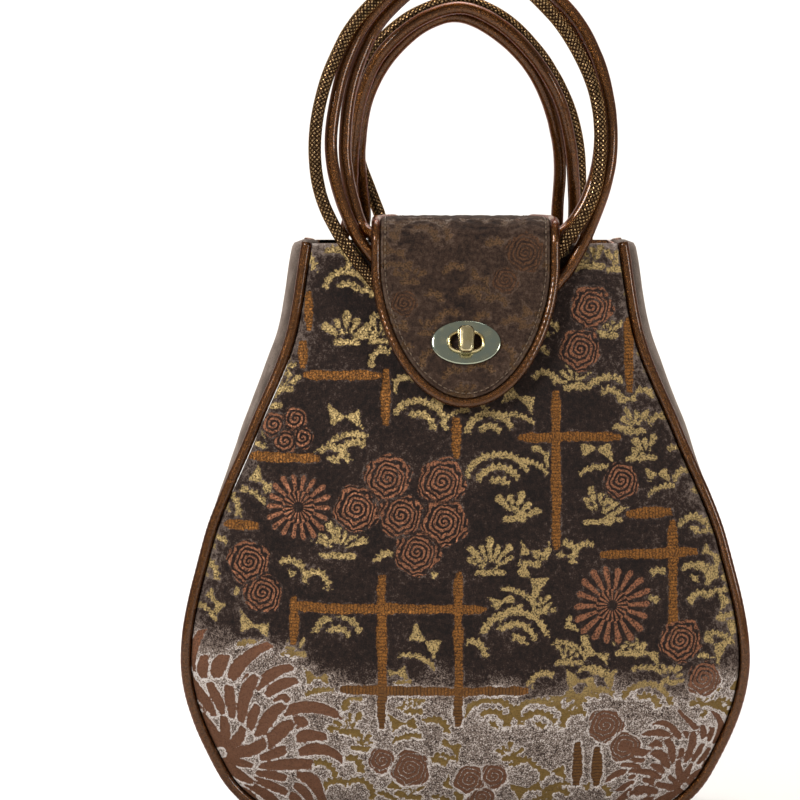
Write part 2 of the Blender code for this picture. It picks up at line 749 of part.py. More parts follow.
def oval(width, height, level, power=2.0):
    """A level oval ring of points: power 2 is an ellipse, more is squarer."""
    points = []
    for k in range(LOCK_SIDES):
        angle = 2 * math.pi * k / LOCK_SIDES
        c = math.cos(angle)
        s = math.sin(angle)
        points.append((width / 2 * math.copysign(abs(c) ** (2 / power), c),
                       height / 2 * math.copysign(abs(s) ** (2 / power), s), level))
    return points


def lock_ring(name, outer, inner, low, high, bevel, material):
    """A flat ring on the lock's axis, from its outer and inner (width, height, power).

    Its outer top edge has a small bevel.
    """
    bm = bmesh.new()
    w, h, power = outer
    hole_w, hole_h, hole_power = inner
    loops = [oval(w, h, low, power), oval(w, h, high - bevel, power),
             oval(w - 2 * bevel, h - 2 * bevel, high, power),
             oval(hole_w, hole_h, high, hole_power), oval(hole_w, hole_h, low, hole_power)]
    rows = [[bm.verts.new(p) for p in loop] for loop in loops]
    for a, b in zip(rows, rows[1:] + rows[:1]):
        for k in range(LOCK_SIDES):
            m = (k + 1) % LOCK_SIDES
            bm.faces.new((a[k], a[m], b[m], b[k]))
    obj = mesh_object(name, bm, material)
    obj.matrix_world = lock_frame()
    return obj


def lock_stack(name, loops, material):
    """A solid piece on the lock's axis, from its rings."""
    bm = bmesh.new()
    add_loops(bm, loops)
    obj = mesh_object(name, bm, material)
    obj.matrix_world = lock_frame()
    return obj


def circle(radius, level):
    """A round ring on the lock's axis."""
    return oval(2 * radius, 2 * radius, level)


def build_lock(gold, steel):
    """The turn lock: base and rivet on the panel, plates on the flap, and the knob that turns."""
    bore = STEM_R + GAP
    plate_top = GAP + BASE_PLATE_THICK
    bore_floor = plate_top - BORE_SINK
    lock_stack("lock_base", [circle(BASE_PLATE_R, GAP), circle(BASE_PLATE_R, plate_top),
                             circle(BOSS_R, plate_top), circle(BOSS_R, BOSS_TOP),
                             circle(bore, BOSS_TOP), circle(bore, bore_floor)], gold)
    opening = (SLOT_W + 2 * GAP, SLOT_H + 2 * GAP, SLOT_POWER)
    back_top = LOCK_STANDOFF - GAP
    lock_ring("lock_backplate", (PLATE_W - 2 * BACKPLATE_INSET, PLATE_H - 2 * BACKPLATE_INSET, 2), opening,
              back_top - BACKPLATE_THICK, back_top, BACKPLATE_BEVEL, steel)
    plate_low = LOCK_STANDOFF + FLAP_LINER + FLAP_VELVET + 2 * GAP
    plate_high = plate_low + PLATE_THICK
    lock_ring("lock_plate", (PLATE_W, PLATE_H, 2), opening, plate_low, plate_high, PLATE_BEVEL, gold)
    ring_low = plate_high + GAP
    ring_high = ring_low + EYELET_THICK
    lock_ring("lock_eyelet", (SLOT_W + 2 * EYELET_BAND, SLOT_H + 2 * EYELET_BAND, EYELET_POWER),
              (SLOT_W, SLOT_H, SLOT_POWER), ring_low, ring_high, EYELET_BEVEL, gold)
    head = ring_high + GAP
    knob = [oval(KNOB_WIDE * wide, KNOB_LONG * long, head + KNOB_THICK * level, KNOB_POWER)
            for wide, long, level in KNOB_SECTION]
    lock_stack("lock_knob", [circle(STEM_R, bore_floor + GAP), circle(STEM_R, head), *knob], gold)
    washer_top = -(PANEL_THICK + LINING_EASE + LINING_THICK) * math.cos(LOCK_TILT) - GAP
    washer_low = washer_top - WASHER_THICK
    hole = 2 * (RIVET_R + GAP)
    lock_ring("lock_washer", (2 * WASHER_R, 2 * WASHER_R, 2), (hole, hole, 2), washer_low, washer_top,
              WASHER_BEVEL, steel)
    head_top = washer_low - GAP
    lock_stack("lock_rivet", [circle(RIVET_HEAD_R, head_top - RIVET_HEAD), circle(RIVET_HEAD_R, head_top),
                              circle(RIVET_R, head_top), circle(RIVET_R, 0.0)], steel)


def cutter(name, loops):
    """A hidden solid on the lock's axis, to be cut out of other pieces."""
    bm = bmesh.new()
    add_loops(bm, loops)
    bmesh.ops.recalc_face_normals(bm, faces=bm.faces)
    mesh = bpy.data.meshes.new(name)
    bm.to_mesh(mesh)
    bm.free()
    obj = bpy.data.objects.new(name, mesh)
    obj.matrix_world = lock_frame()
    obj.hide_render = True
    obj.display_type = "WIRE"
    bpy.context.scene.collection.objects.link(obj)
    return obj


# Handle routes from the left end to the right: (x, y, z) in millimetres. Where y is None,
# the handle lies on its panel. Each has its lane at the left tab and at the right tab:
# lane 0 is the outermost there. The ends at the tabs are added from the tabs' own sizes.
FRONT_ROUTES = {
    "front_handle_woven": (0, (
        (-45, None, 281), (-54, -34.5, 293), (-65, -36, 309), (-73, -36, 327), (-76, -33, 348), (-74, -30, 370),
        (-67, -26, 393), (-54, -22, 416), (-30, -20, 437), (-5, -20, 446), (20, -20, 439), (44, -22, 418),
        (58, -26, 397), (66, -31, 376), (68, -36, 354), (66, -39, 332), (60, -40, 317), (51.5, -37.9, 304.5),
        (43, -35.7, 292)), 1),
    "front_handle_outer": (1, (
        (-44, None, 291.6), (-55, -31.8, 306.5), (-64, -29, 328), (-68, -25.5, 350), (-66, -22.5, 372),
        (-60, -18.5, 395), (-48, -14, 417), (-26, -12.5, 437), (2, -12.5, 446), (30, -12.5, 439),
        (54, -15, 419), (67, -19, 396), (73, -24, 372), (74, -28, 350), (71, -31, 332), (66, -31, 317),
        (60, -32, 303), (53, -34.6, 290.5), (46, None, 281.4)), 0),
    "front_handle_inner": (2, (
        (-37.2, -34.4, 296.1), (-42.2, -33.1, 302.3), (-46.2, -31, 306), (-52.5, -24.6, 311), (-57, -21.5, 324),
        (-60, -19, 338), (-61, -18, 352), (-59, -15, 375),
        (-53, -11, 396), (-42, -7, 416), (-20, -5, 435), (6, -5, 442), (32, -5, 435),
        (52, -7, 416), (64, -11, 394), (69, -16, 368), (68, -20, 344), (62, -23, 324), (53.5, -25, 311),
        (46.2, -31, 306), (42.2, -33.1, 302.3), (37.2, -34.4, 296.1)), 2),
}
BACK_ROUTES = {
    "back_handle_woven": (2, (
        (-46, 39, 298), (-43, 40, 311), (-48, 38, 326), (-55, 33, 348), (-55, 28, 380), (-46, 24.5, 402),
        (-26, 22.5, 419), (-2, 22.5, 426), (20, 22.5, 418), (39, 24.5, 400), (53, 28, 377), (60, 34, 355),
        (62, 38, 335), (62, 40, 317), (66, 38.5, 300)), 0),
    "back_handle_outer": (1, (
        (-56, 36, 298), (-51.5, 35, 312), (-53, 29, 330), (-54, 24, 350), (-50, 19, 375), (-39, 16, 396),
        (-22, 14.5, 412), (-4, 14.5, 418), (14, 14.5, 411), (32, 16, 395), (43, 20, 376), (49, 26, 356),
        (51, 31, 338), (50, 35.5, 318), (50, 37, 300)), 2),
    "back_handle_inner": (0, (
        (-65, 33.5, 298), (-60, 28.5, 313), (-58, 21, 332), (-57, 16, 352), (-53, 11.5, 376), (-43, 8.5, 398),
        (-24, 7, 415), (-2, 7, 422), (18, 7, 414), (36, 8.5, 397), (49, 12.5, 376), (55, 18, 355),
        (57.5, 23.5, 336), (58.5, 29.5, 317), (58, 33.5, 300)), 1),
}


def smooth_route(points):
    """Points of a smooth curve through the route's own points."""
    ends = [points[0] * 2 - points[1], *points, points[-1] * 2 - points[-2]]
    route = []
    for a, b, c, d in zip(ends, ends[1:], ends[2:], ends[3:]):
        for k in range(ROUTE_SPANS):
            t = k / ROUTE_SPANS
            route.append(b + (c - a) * (t / 2) + (a * 2 - b * 5 + c * 4 - d) * (t * t / 2)
                         + (b * 3 - a - c * 3 + d) * (t ** 3 / 2))
    return [*route, points[-1]]


def on_panel(x, z, side, lift):
    """A point at a height over a panel's outer face; above the mouth it goes straight up."""
    low = min(z, MOUTH_Z - MM)
    across = (panel_depth(x + MM, low) - panel_depth(x - MM, low)) / (2 * MM)
    rise = (panel_depth(x, low + MM) - panel_depth(x, low - MM)) / (2 * MM)
    out = Vector((-across, side, -rise)).normalized()
    return Vector((x, side * panel_depth(x, low), z)) + out * lift


def tab_place(tab, hand, along, across):
    """A point (x, z) of a tab: along the handles' heading from its end face, and across it."""
    x, z, turn = tab
    ahead = heading(turn)
    place = Vector((x, z)) + ahead * along + Vector((-ahead.y, ahead.x)) * across
    return hand * place.x, place.y


def handle_end(tab, side, hand, lane):
    """Where a handle meets its tab: the end, and a point a little further out."""
    return [on_panel(*tab_place(tab, hand, along, (lane - 1) * HANDLE_STEP), side, HANDLE_LIFT)
            for along in (GAP, GAP + HANDLE_R)]


def handle_path(route, tab, side):
    """The whole route of a handle, ends included."""
    left, points, right = route
    middle = [on_panel(x * MM, z * MM, side, HANDLE_LIFT) if y is None else Vector((x, y, z)) * MM
              for x, y, z in points]
    return smooth_route(handle_end(tab, side, -1, left) + middle + handle_end(tab, side, 1, right)[::-1])


def handle_object(name, path, material):
    """A rolled handle: a round tube along its path."""
    curve = bpy.data.curves.new(name, "CURVE")
    curve.dimensions = "3D"
    curve.bevel_depth = HANDLE_R
    curve.bevel_resolution = 2
    curve.use_fill_caps = True
    points = [path[0], *resample(path[ROUTE_SPANS:-ROUTE_SPANS], HANDLE_COUNT - 2), path[-1]]
    spline = curve.splines.new("POLY")
    spline.points.add(len(points) - 1)
    for spot, place in zip(spline.points, points):
        spot.co = (*place, 1.0)
    return link(bpy.data.objects.new(name, curve), material)


def tab_object(name, side, tab, hand, material):
    """A leather end piece that lies on its panel and holds the handles' ends."""
    bm = bmesh.new()
    loops = []
    for k in range(TAB_SPANS + 1):
        along = -TAB_LENGTH * k / TAB_SPANS
        ring = []
        for lift, order in ((2 * GAP, range(TAB_SPANS + 1)), (TAB_THICK, range(TAB_SPANS, -1, -1))):
            for i in order:
                x, z = tab_place(tab, hand, along, TAB_WIDTH * (i / TAB_SPANS - 0.5))
                ring.append(on_panel(x, z, side, lift))
        loops.append(ring)
    add_loops(bm, loops)
    return mesh_object(name, bm, material)


def main():
    """Clears the scene and builds every piece."""
    for obj in list(bpy.data.objects):
        bpy.data.objects.remove(obj)
    velvet = make_material("velvet", (0.024, 0.012, 0.009), 0.0, 0.85)
    copper = make_material("copper_foil", (0.34, 0.12, 0.045), 0.8, 0.4)
    gold_foil = make_material("gold_foil", (0.42, 0.3, 0.11), 0.8, 0.4)
    taupe = make_material("taupe_velvet", (0.19, 0.14, 0.12), 0.0, 0.85)
    leather = make_material("bronze_leather", (0.2, 0.09, 0.035), 0.6, 0.35)
    cloth = make_material("lining_cloth", (0.05, 0.03, 0.02), 0.0, 0.8)
    board = make_material("board", (0.2, 0.17, 0.13), 0.0, 0.9)
    gold = make_material("gold_metal", (0.75, 0.6, 0.35), 1.0, 0.25)
    steel = make_material("plain_steel", (0.5, 0.5, 0.5), 1.0, 0.4)

    motifs = motif_outlines()
    front = panel_object("front_panel", -1, motifs, velvet, copper, gold_foil)
    panel_object("back_panel", 1, motifs, velvet, copper, gold_foil)
    gusset_object("gusset", taupe)
    seam_tube("front_piping", -1, leather)
    seam_tube("back_piping", 1, leather)
    lining = lining_object("lining", cloth)
    facing_object("mouth_facing", leather)
    board_object("base_board", board)

    curve = FlapCurve()
    liner = flap_sheet("flap_backing", curve, 0.0, FLAP_LINER, leather)
    outer = flap_sheet("flap_outer", curve, FLAP_LINER + GAP, FLAP_LINER + GAP + FLAP_VELVET, velvet)
    flap_edge("flap_piping", curve, leather)

    build_lock(gold, steel)
    far = 2 * LOCK_STANDOFF
    rivet_cut = cutter("rivet_cut", [circle(RIVET_R + GAP, level) for level in (-far, 3 * GAP)])
    slot_cut = cutter("slot_cut", [oval(SLOT_W + 4 * GAP, SLOT_H + 4 * GAP, level, SLOT_POWER)
                                   for level in (LOCK_STANDOFF / 2, far)])
    cut(front, rivet_cut)
    cut(lining, rivet_cut)
    cut(liner, slot_cut)
    cut(outer, slot_cut)

    for routes, tab, side, face in ((FRONT_ROUTES, FRONT_TAB, -1, "front"),
                                    (BACK_ROUTES, BACK_TAB, 1, "back")):
        for name, route in routes.items():
            handle_object(name, handle_path(route, tab, side), leather)
        for word, hand in (("left", -1), ("right", 1)):
            tab_object(f"{face}_tab_{word}", side, tab, hand, leather)


if __name__ == "__main__":
    main()
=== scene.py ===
"""Bell-shaped velvet flap handbag with foil motifs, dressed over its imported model.

Sizes are millimetres in the classes' fields and in the functions that place points, and metres in
the finished meshes. The front faces -Y, +Z is up, and the origin is the centre of the base.
"""

import logging
import math
from dataclasses import dataclass, field
from enum import Enum
from typing import Callable, Sequence

import bmesh
import bpy
import numpy as np
from mathutils import Matrix, Vector


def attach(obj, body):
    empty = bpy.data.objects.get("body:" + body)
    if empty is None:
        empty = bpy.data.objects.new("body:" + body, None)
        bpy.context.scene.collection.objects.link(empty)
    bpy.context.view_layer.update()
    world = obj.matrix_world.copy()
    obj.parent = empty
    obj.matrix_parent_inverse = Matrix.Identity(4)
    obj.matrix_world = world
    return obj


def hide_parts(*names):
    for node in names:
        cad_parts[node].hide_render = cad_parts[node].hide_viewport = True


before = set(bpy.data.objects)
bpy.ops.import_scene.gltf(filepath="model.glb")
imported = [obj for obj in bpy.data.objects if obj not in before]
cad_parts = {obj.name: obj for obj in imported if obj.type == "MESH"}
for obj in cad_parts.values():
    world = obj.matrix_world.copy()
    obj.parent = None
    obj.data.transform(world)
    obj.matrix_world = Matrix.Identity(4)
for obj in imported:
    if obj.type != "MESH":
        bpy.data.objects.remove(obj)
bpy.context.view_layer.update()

logging.basicConfig(level=logging.INFO, format="%(message)s")
LOG = logging.getLogger("handbag")

MM = 0.001
Array = np.ndarray
Placer = Callable[[Array, Array], Array]


class Body(Enum):
    """The two bodies that pieces ride on."""

    BAG = "bag"
    KNOB = "knob"


class Side(Enum):
    """The front and the back of the bag, as the sign of Y."""

    FRONT = -1
    BACK = 1


class Spray(Enum):
    """The kinds of foil foliage."""

    FAN = 0
    ARCS = 1
    WINGS = 2


class Slot(Enum):
    """Names of material slots."""

    VELVET = "velvet"
    TAUPE = "taupe_velvet"
    LEATHER = "bronze_leather"
    EMBOSSED = "embossed_leather"
    GOLD = "gold_metal"
    STEEL = "plain_steel"
    LINING = "lining_cloth"
    BOARD = "board"


# ---- numbers and noise


def monotone(knots: Sequence[float], values: Sequence[float]) -> Callable[[Array], Array]:
    """Makes a monotone cubic curve through points, flat past its ends.

    Args:
        knots: Positions, rising.
        values: The value at each position.

    Returns:
        A function of an array of positions.
    """
    xs = np.array(knots, float)
    ys = np.array(values, float)
    steps = np.diff(xs)
    slopes = np.diff(ys) / steps
    same = slopes[:-1] * slopes[1:] > 0
    before = np.where(same, slopes[:-1], 1.0)
    after = np.where(same, slopes[1:], 1.0)
    w1 = 2 * steps[1:] + steps[:-1]
    w2 = steps[1:] + 2 * steps[:-1]
    inner = np.where(same, (w1 + w2) / (w1 / before + w2 / after), 0.0)
    tangents = np.concatenate(([slopes[0]], inner, [slopes[-1]]))

    def curve(x: Array) -> Array:
        """Value of the curve at each position."""
        x = np.clip(np.asarray(x, float), xs[0], xs[-1])
        i = np.clip(np.searchsorted(xs, x, side="right") - 1, 0, len(steps) - 1)
        t = (x - xs[i]) / steps[i]
        rise = ys[i] * (1 + 2 * t) * (1 - t) ** 2 + ys[i + 1] * t * t * (3 - 2 * t)
        return rise + steps[i] * (tangents[i] * t * (1 - t) ** 2 + tangents[i + 1] * t * t * (t - 1))

    return curve


def smoothstep(low: float, high: float, x: Array) -> Array:
    """Rises smoothly from 0 at low to 1 at high."""
    t = np.clip((x - low) / (high - low), 0.0, 1.0)
    return t * t * (3 - 2 * t)


def value_noise(x: Array, y: Array, size: float, seed: int) -> Array:
    """Smooth seeded noise from -1 to 1 whose features are about one size long."""
    table = np.random.default_rng(seed).uniform(-1, 1, (128, 128))
    gx = np.asarray(x, float) / size
    gy = np.asarray(y, float) / size
    ix = np.floor(gx).astype(int)
    iy = np.floor(gy).astype(int)
    fx = smoothstep(0, 1, gx - ix)
    fy = smoothstep(0, 1, gy - iy)
    low = table[ix % 128, iy % 128] * (1 - fx) + table[(ix + 1) % 128, iy % 128] * fx
    high = table[ix % 128, (iy + 1) % 128] * (1 - fx) + table[(ix + 1) % 128, (iy + 1) % 128] * fx
    return low * (1 - fy) + high * fy


# ---- meshes


def warped_grid(name: str, columns: int, rows: int, place: Placer, *, closed: bool = False,
                flip: bool = False, rim: float = 0.0, uv_size: tuple[float, float] = (1.0, 1.0),
                fields: Callable[[Array, Array], dict[str, Array]] | None = None) -> bpy.types.Object:
    """Warps a grid of quads into a sheet or a closed form.

    Args:
        name: The object's name.
        columns: Quads along the first direction.
        rows: Quads along the second direction.
        place: Gives points in millimetres for the two directions' shares, 0 to 1.
        closed: Merges edges that meet and fills the ends that stay open.
        flip: Turns the faces round.
        rim: How far the sheet's open edge turns in behind it, in millimetres.
        uv_size: The sheet's length in each direction, in millimetres, for its UV map.
        fields: Gives named attributes for the two directions' shares.

    Returns:
        The object, linked into the scene.
    """
    bm = bmesh.new()
    bm.loops.layers.uv.new("UVMap")
    bmesh.ops.create_grid(bm, x_segments=columns, y_segments=rows, size=0.5, calc_uvs=True)
    mesh = bpy.data.meshes.new(name)
    bm.to_mesh(mesh)
    bm.free()
    flat = np.empty(len(mesh.vertices) * 3, np.float32)
    mesh.vertices.foreach_get("co", flat)
    shares = flat.reshape(-1, 3).astype(float) + 0.5
    u = np.clip(shares[:, 0], 0, 1)
    v = np.clip(shares[:, 1], 0, 1)
    mesh.vertices.foreach_set("co", (place(u, v) * MM).astype(np.float32).ravel())
    uv = np.empty(len(mesh.loops) * 2, np.float32)
    mesh.uv_layers[0].data.foreach_get("uv", uv)
    mesh.uv_layers[0].data.foreach_set("uv", (uv.reshape(-1, 2) * uv_size).astype(np.float32).ravel())
    for key, values in (fields(u, v) if fields else {}).items():
        kind, slot = ("FLOAT_VECTOR", "vector") if values.ndim == 2 else ("FLOAT", "value")
        mesh.attributes.new(key, kind, "POINT").data.foreach_set(slot, values.astype(np.float32).ravel())
    bm = bmesh.new()
    bm.from_mesh(mesh)
    if closed:
        bmesh.ops.remove_doubles(bm, verts=bm.verts, dist=1e-6)
        bmesh.ops.holes_fill(bm, edges=[e for e in bm.edges if e.is_boundary], sides=0)
        bmesh.ops.recalc_face_normals(bm, faces=bm.faces)
    if flip:
        bmesh.ops.reverse_faces(bm, faces=bm.faces)
    if rim:
        bm.normal_update()
        edges = [e for e in bm.edges if e.is_boundary]
        normals = {v.index: v.normal.copy() for e in edges for v in e.verts}
        made = bmesh.ops.extrude_edge_only(bm, edges=edges)["geom"]
        bm.normal_update()
        new = {g for g in made if isinstance(g, bmesh.types.BMVert)}
        for vert in new:
            source = next(o for o in (e.other_vert(vert) for e in vert.link_edges) if o not in new)
            vert.co -= normals[source.index] * rim * MM
    bm.to_mesh(mesh)
    bm.free()
    mesh.shade_smooth()
    obj = bpy.data.objects.new(name, mesh)
    bpy.context.scene.collection.objects.link(obj)
    return obj


def resample(path: Array, count: int) -> Array:
    """Gives equally spaced points along a path of points."""
    lengths = np.concatenate(([0.0], np.cumsum(np.linalg.norm(np.diff(path, axis=0), axis=1))))
    targets = np.linspace(0, lengths[-1], count)
    return np.stack([np.interp(targets, lengths, path[:, k]) for k in range(path.shape[1])], axis=1)


def path_length(path: Array) -> float:
    """Length of a path of points."""
    return float(np.linalg.norm(np.diff(path, axis=0), axis=1).sum())


def tube(name: str, path: Array, radius: float, sides: int, swell: Callable[[Array, Array], Array] | None = None
         ) -> bpy.types.Object:
    """Sweeps a round section along a path.

    Args:
        name: The object's name.
        path: Points of the tube's middle, in millimetres.
        radius: The tube's radius in millimetres.
        sides: Faces round the tube.
        swell: Gives what is added to the radius for millimetres along and the share round the tube.

    Returns:
        The closed tube. Its UV map is in millimetres along it and round it.
    """
    tangents = np.gradient(path, axis=0)
    tangents /= np.linalg.norm(tangents, axis=1, keepdims=True)
    normal = np.cross(tangents[0], (0.0, 1.0, 0.0))
    if np.linalg.norm(normal) < 0.1:
        normal = np.cross(tangents[0], (1.0, 0.0, 0.0))
    normals = []
    for along in tangents:
        normal = normal - along * float(normal @ along)
        normal /= np.linalg.norm(normal)
        normals.append(normal)
    normals = np.array(normals)
    sideways = np.cross(tangents, normals)
    length = path_length(path)

    def place(u: Array, v: Array) -> Array:
        """Points on the tube's skin."""
        i = np.rint(u * (len(path) - 1)).astype(int)
        angle = 2 * np.pi * v
        r = radius + (swell(u * length, v) if swell else 0.0 * u)
        return path[i] + (normals[i] * np.cos(angle)[:, None] + sideways[i] * np.sin(angle)[:, None]) * r[:, None]

    return warped_grid(name, len(path) - 1, sides, place, closed=True, uv_size=(length, 2 * math.pi * radius))


def stitch_row(name: str, path: Array, outs: Array, pitch: float, radius: float) -> bpy.types.Object:
    """Lays separate thread stitches along a path.

    Args:
        name: The object's name.
        path: Points of the seam, in millimetres.
        outs: The outward direction at each point.
        pitch: Millimetres from one stitch to the next.
        radius: The thread's radius in millimetres.

    Returns:
        One object with all the stitches.
    """
    count = max(2, round(path_length(path) / pitch))
    spots = resample(np.hstack((path, outs)), count * 2 + 1)
    bm = bmesh.new()
    for k in range(count):
        a, here, b = (Vector(spots[2 * k + i, :3]) for i in range(3))
        out = Vector(spots[2 * k + 1, 3:]).normalized()
        along = (b - a).normalized()
        frame3 = Matrix((along, out.cross(along).normalized(), out)).transposed().to_4x4()
        size = Matrix.Diagonal((pitch * 0.36, radius, radius, 1.0))
        bmesh.ops.create_uvsphere(bm, u_segments=8, v_segments=6, radius=1.0,
                                  matrix=Matrix.Scale(MM, 4) @ Matrix.Translation(here) @ frame3 @ size)
    mesh = bpy.data.meshes.new(name)
    bm.to_mesh(mesh)
    bm.free()
    mesh.shade_smooth()
    obj = bpy.data.objects.new(name, mesh)
    bpy.context.scene.collection.objects.link(obj)
    return obj


def dress(obj: bpy.types.Object, material: bpy.types.Material, slot: Slot, *nodes: str,
          body: Body = Body.BAG) -> bpy.types.Object:
    """Gives a new piece its material and body, and hides the CAD nodes that it stands for."""
    obj.data.materials.append(material)
    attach(obj, body.value)
    if nodes:
        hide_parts(*nodes)
    LOG.info("piece %s: %d faces, rides on %s", obj.name, len(obj.data.polygons), body.value)
    return obj


def redress(node: str, material: bpy.types.Material) -> None:
    """Gives a kept CAD node a better material."""
    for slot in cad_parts[node].material_slots:
        slot.material = material
    LOG.info("kept node %s: %s", node, material.name)


# ---- materials


def linear(code: str) -> tuple[float, float, float, float]:
    """Turns an sRGB hex colour into linear RGBA."""
    parts = [int(code[i:i + 2], 16) / 255 for i in (1, 3, 5)]
    return (*[c / 12.92 if c <= 0.04045 else ((c + 0.055) / 1.055) ** 2.4 for c in parts], 1.0)


def add_node(tree: bpy.types.NodeTree, kind: str, inputs: dict | None = None, out: int | str = 0,
             **settings: object) -> bpy.types.NodeSocket:
    """Adds a node with its settings, its inputs' values and its links.

    Args:
        tree: The material's node tree.
        kind: The node's type without its ShaderNode prefix.
        inputs: A value or an output socket for each input, by name or number.
        out: The output that is wanted.
        settings: The node's own properties.

    Returns:
        The wanted output socket.
    """
    node = tree.nodes.new("ShaderNode" + kind)
    for name, value in settings.items():
        setattr(node, name, value)
    for key, value in (inputs or {}).items():
        if isinstance(value, bpy.types.NodeSocket):
            tree.links.new(value, node.inputs[key])
        else:
            node.inputs[key].default_value = value
    return node.outputs[out]


class Finish:
    """Shared start of every finish: a Principled material."""

    name: str

    def start(self, values: dict[str, object]) -> tuple[bpy.types.Material, bpy.types.NodeTree, bpy.types.Node]:
        """Makes the material and sets plain values on its shader's own sockets."""
        material = bpy.data.materials.new(self.name)
        material.use_nodes = True
        tree = material.node_tree
        shader = tree.nodes["Principled BSDF"]
        for key, value in values.items():
            shader.inputs[key].default_value = value
        return material, tree, shader


@dataclass(frozen=True)
class CutVelvet(Finish):
    """Cut silk velvet: a deep pile with hot foil pressed into it, so the eye sees dull fur and bright metal."""

    name: str = "cut_silk_velvet"
    deep: str = "#120c0a"
    mid: str = "#271b16"
    # The two palest tones of the pile are painted sheen: the pale look of the pile's tips where light grazes it.
    wear_and_sheen: str = "#74665d"
    sheen_silver: str = "#b9b0aa"
    copper: str = "#845627"
    gold: str = "#a58d5e"
    rose: str = "#875940"
    dull_copper: str = "#5a3a17"
    dull_gold: str = "#6b5429"
    dull_rose: str = "#5f3e2b"
    metal: float = 0.7
    ring_pitch: float = 2.3
    petals: float = 18.0
    rib_pitch: float = 1.7  # the fence bars are ribbed across
    pile_grit: float = 0.65  # coarser than real pile, 0.1 mm, so that it shows
    flake: float = 0.8  # the foil breaks into grains of about this size
    specks: tuple[float, float] = (0.13, 0.4)

    def make(self) -> bpy.types.Material:
        """Builds the material from the cloth's own attributes."""
        material, tree, shader = self.start({"Sheen Weight": 0.03, "Sheen Roughness": 0.5, "Specular IOR Level": 0.2,
                                             "Sheen Tint": linear("#c9a98e")})
        spot = add_node(tree, "TexCoord", out="Object")
        grit = add_node(tree, "TexNoise", {"Vector": spot, "Scale": 1000 / self.pile_grit, "Detail": 3.0})
        tuft = add_node(tree, "TexNoise", {"Vector": spot, "Scale": 1000 / 2.2, "Detail": 3.0})
        flake = add_node(tree, "TexNoise", {"Vector": spot, "Scale": 1000 / self.flake, "Detail": 2.0})
        wobble = self.ragged(tree, spot)
        low = add_node(tree, "Attribute", attribute_name="low", out="Fac")
        masks, edge = {}, None
        for key in ("petal", "gold", "rose", "copper"):
            line = add_node(tree, "Attribute", attribute_name=key, out="Fac")
            ragged = 1.7 if key == "gold" else 1.0
            line = add_node(tree, "Math", {0: wobble, 1: ragged, 2: line}, operation="MULTIPLY_ADD")
            edge = line if edge is None else add_node(tree, "Math", {0: edge, 1: line}, operation="MAXIMUM")
            masks[key] = add_node(tree, "MapRange", {0: line, 1: -0.1, 2: 0.25}, interpolation_type="SMOOTHSTEP")
        masks["rose"] = add_node(tree, "Math", {0: masks["rose"], 1: self.petals_and_rings(tree, wobble, low)},
                                 operation="MULTIPLY")
        colour = self.pile_colour(tree, low, grit, tuft, edge)
        rib = self.ribs(tree, wobble)
        worn_off = add_node(tree, "MapRange", {0: flake, 1: 0.34, 2: 0.58, 3: 0.9, 4: 0.0})
        worn_off = add_node(tree, "Math", {0: worn_off, 1: add_node(tree, "MapRange", {0: low, 3: 1.0, 4: 0.3})},
                            operation="MULTIPLY")
        foil = masks["petal"]
        for key, code, dull in (("petal", self.rose, self.dull_rose), ("gold", self.gold, self.dull_gold),
                                ("rose", self.rose, self.dull_rose), ("copper", self.copper, self.dull_copper)):
            dulled = add_node(tree, "Mix", {0: low, 6: linear(code), 7: linear(dull)}, out=2, data_type="RGBA")
            bare = add_node(tree, "Math", {0: worn_off, 1: rib}, operation="MAXIMUM") if key == "copper" else worn_off
            grained = add_node(tree, "Mix", {0: bare, 6: dulled, 7: linear(self.deep)}, out=2, data_type="RGBA")
            colour = add_node(tree, "Mix", {0: masks[key], 6: colour, 7: grained}, out=2, data_type="RGBA")
            foil = add_node(tree, "Math", {0: foil, 1: masks[key]}, operation="MAXIMUM")
        tree.links.new(colour, shader.inputs["Base Color"])
        sound = add_node(tree, "MapRange", {0: flake, 1: 0.34, 2: 0.55, 3: 0.15})
        foil = add_node(tree, "Math", {0: foil, 1: sound}, operation="MULTIPLY")
        shine = add_node(tree, "MapRange", {0: low, 3: self.metal, 4: self.metal * 0.2})
        tree.links.new(add_node(tree, "Math", {0: foil, 1: shine}, operation="MULTIPLY"), shader.inputs["Metallic"])
        tree.links.new(add_node(tree, "MapRange", {0: foil, 3: 0.92, 4: 0.42}), shader.inputs["Roughness"])
        height = add_node(tree, "Math", {0: foil, 1: -0.5, 2: tuft}, operation="MULTIPLY_ADD")
        height = add_node(tree, "Math", {0: flake, 1: 0.5, 2: height}, operation="MULTIPLY_ADD")
        bump = add_node(tree, "Bump", {"Height": height, "Strength": 0.7, "Distance": 0.0009})
        tree.links.new(bump, shader.inputs["Normal"])
        return material

    def ragged(self, tree: bpy.types.NodeTree, spot: bpy.types.NodeSocket) -> bpy.types.NodeSocket:
        """Gives the uneven edge that pile leaves along pressed foil, in millimetres."""
        wisp = add_node(tree, "TexNoise", {"Vector": spot, "Scale": 1000 / 2.4, "Detail": 4.0, "Roughness": 0.6})
        return add_node(tree, "MapRange", {0: wisp, 1: 0.25, 2: 0.75, 3: -0.7, 4: 0.7})

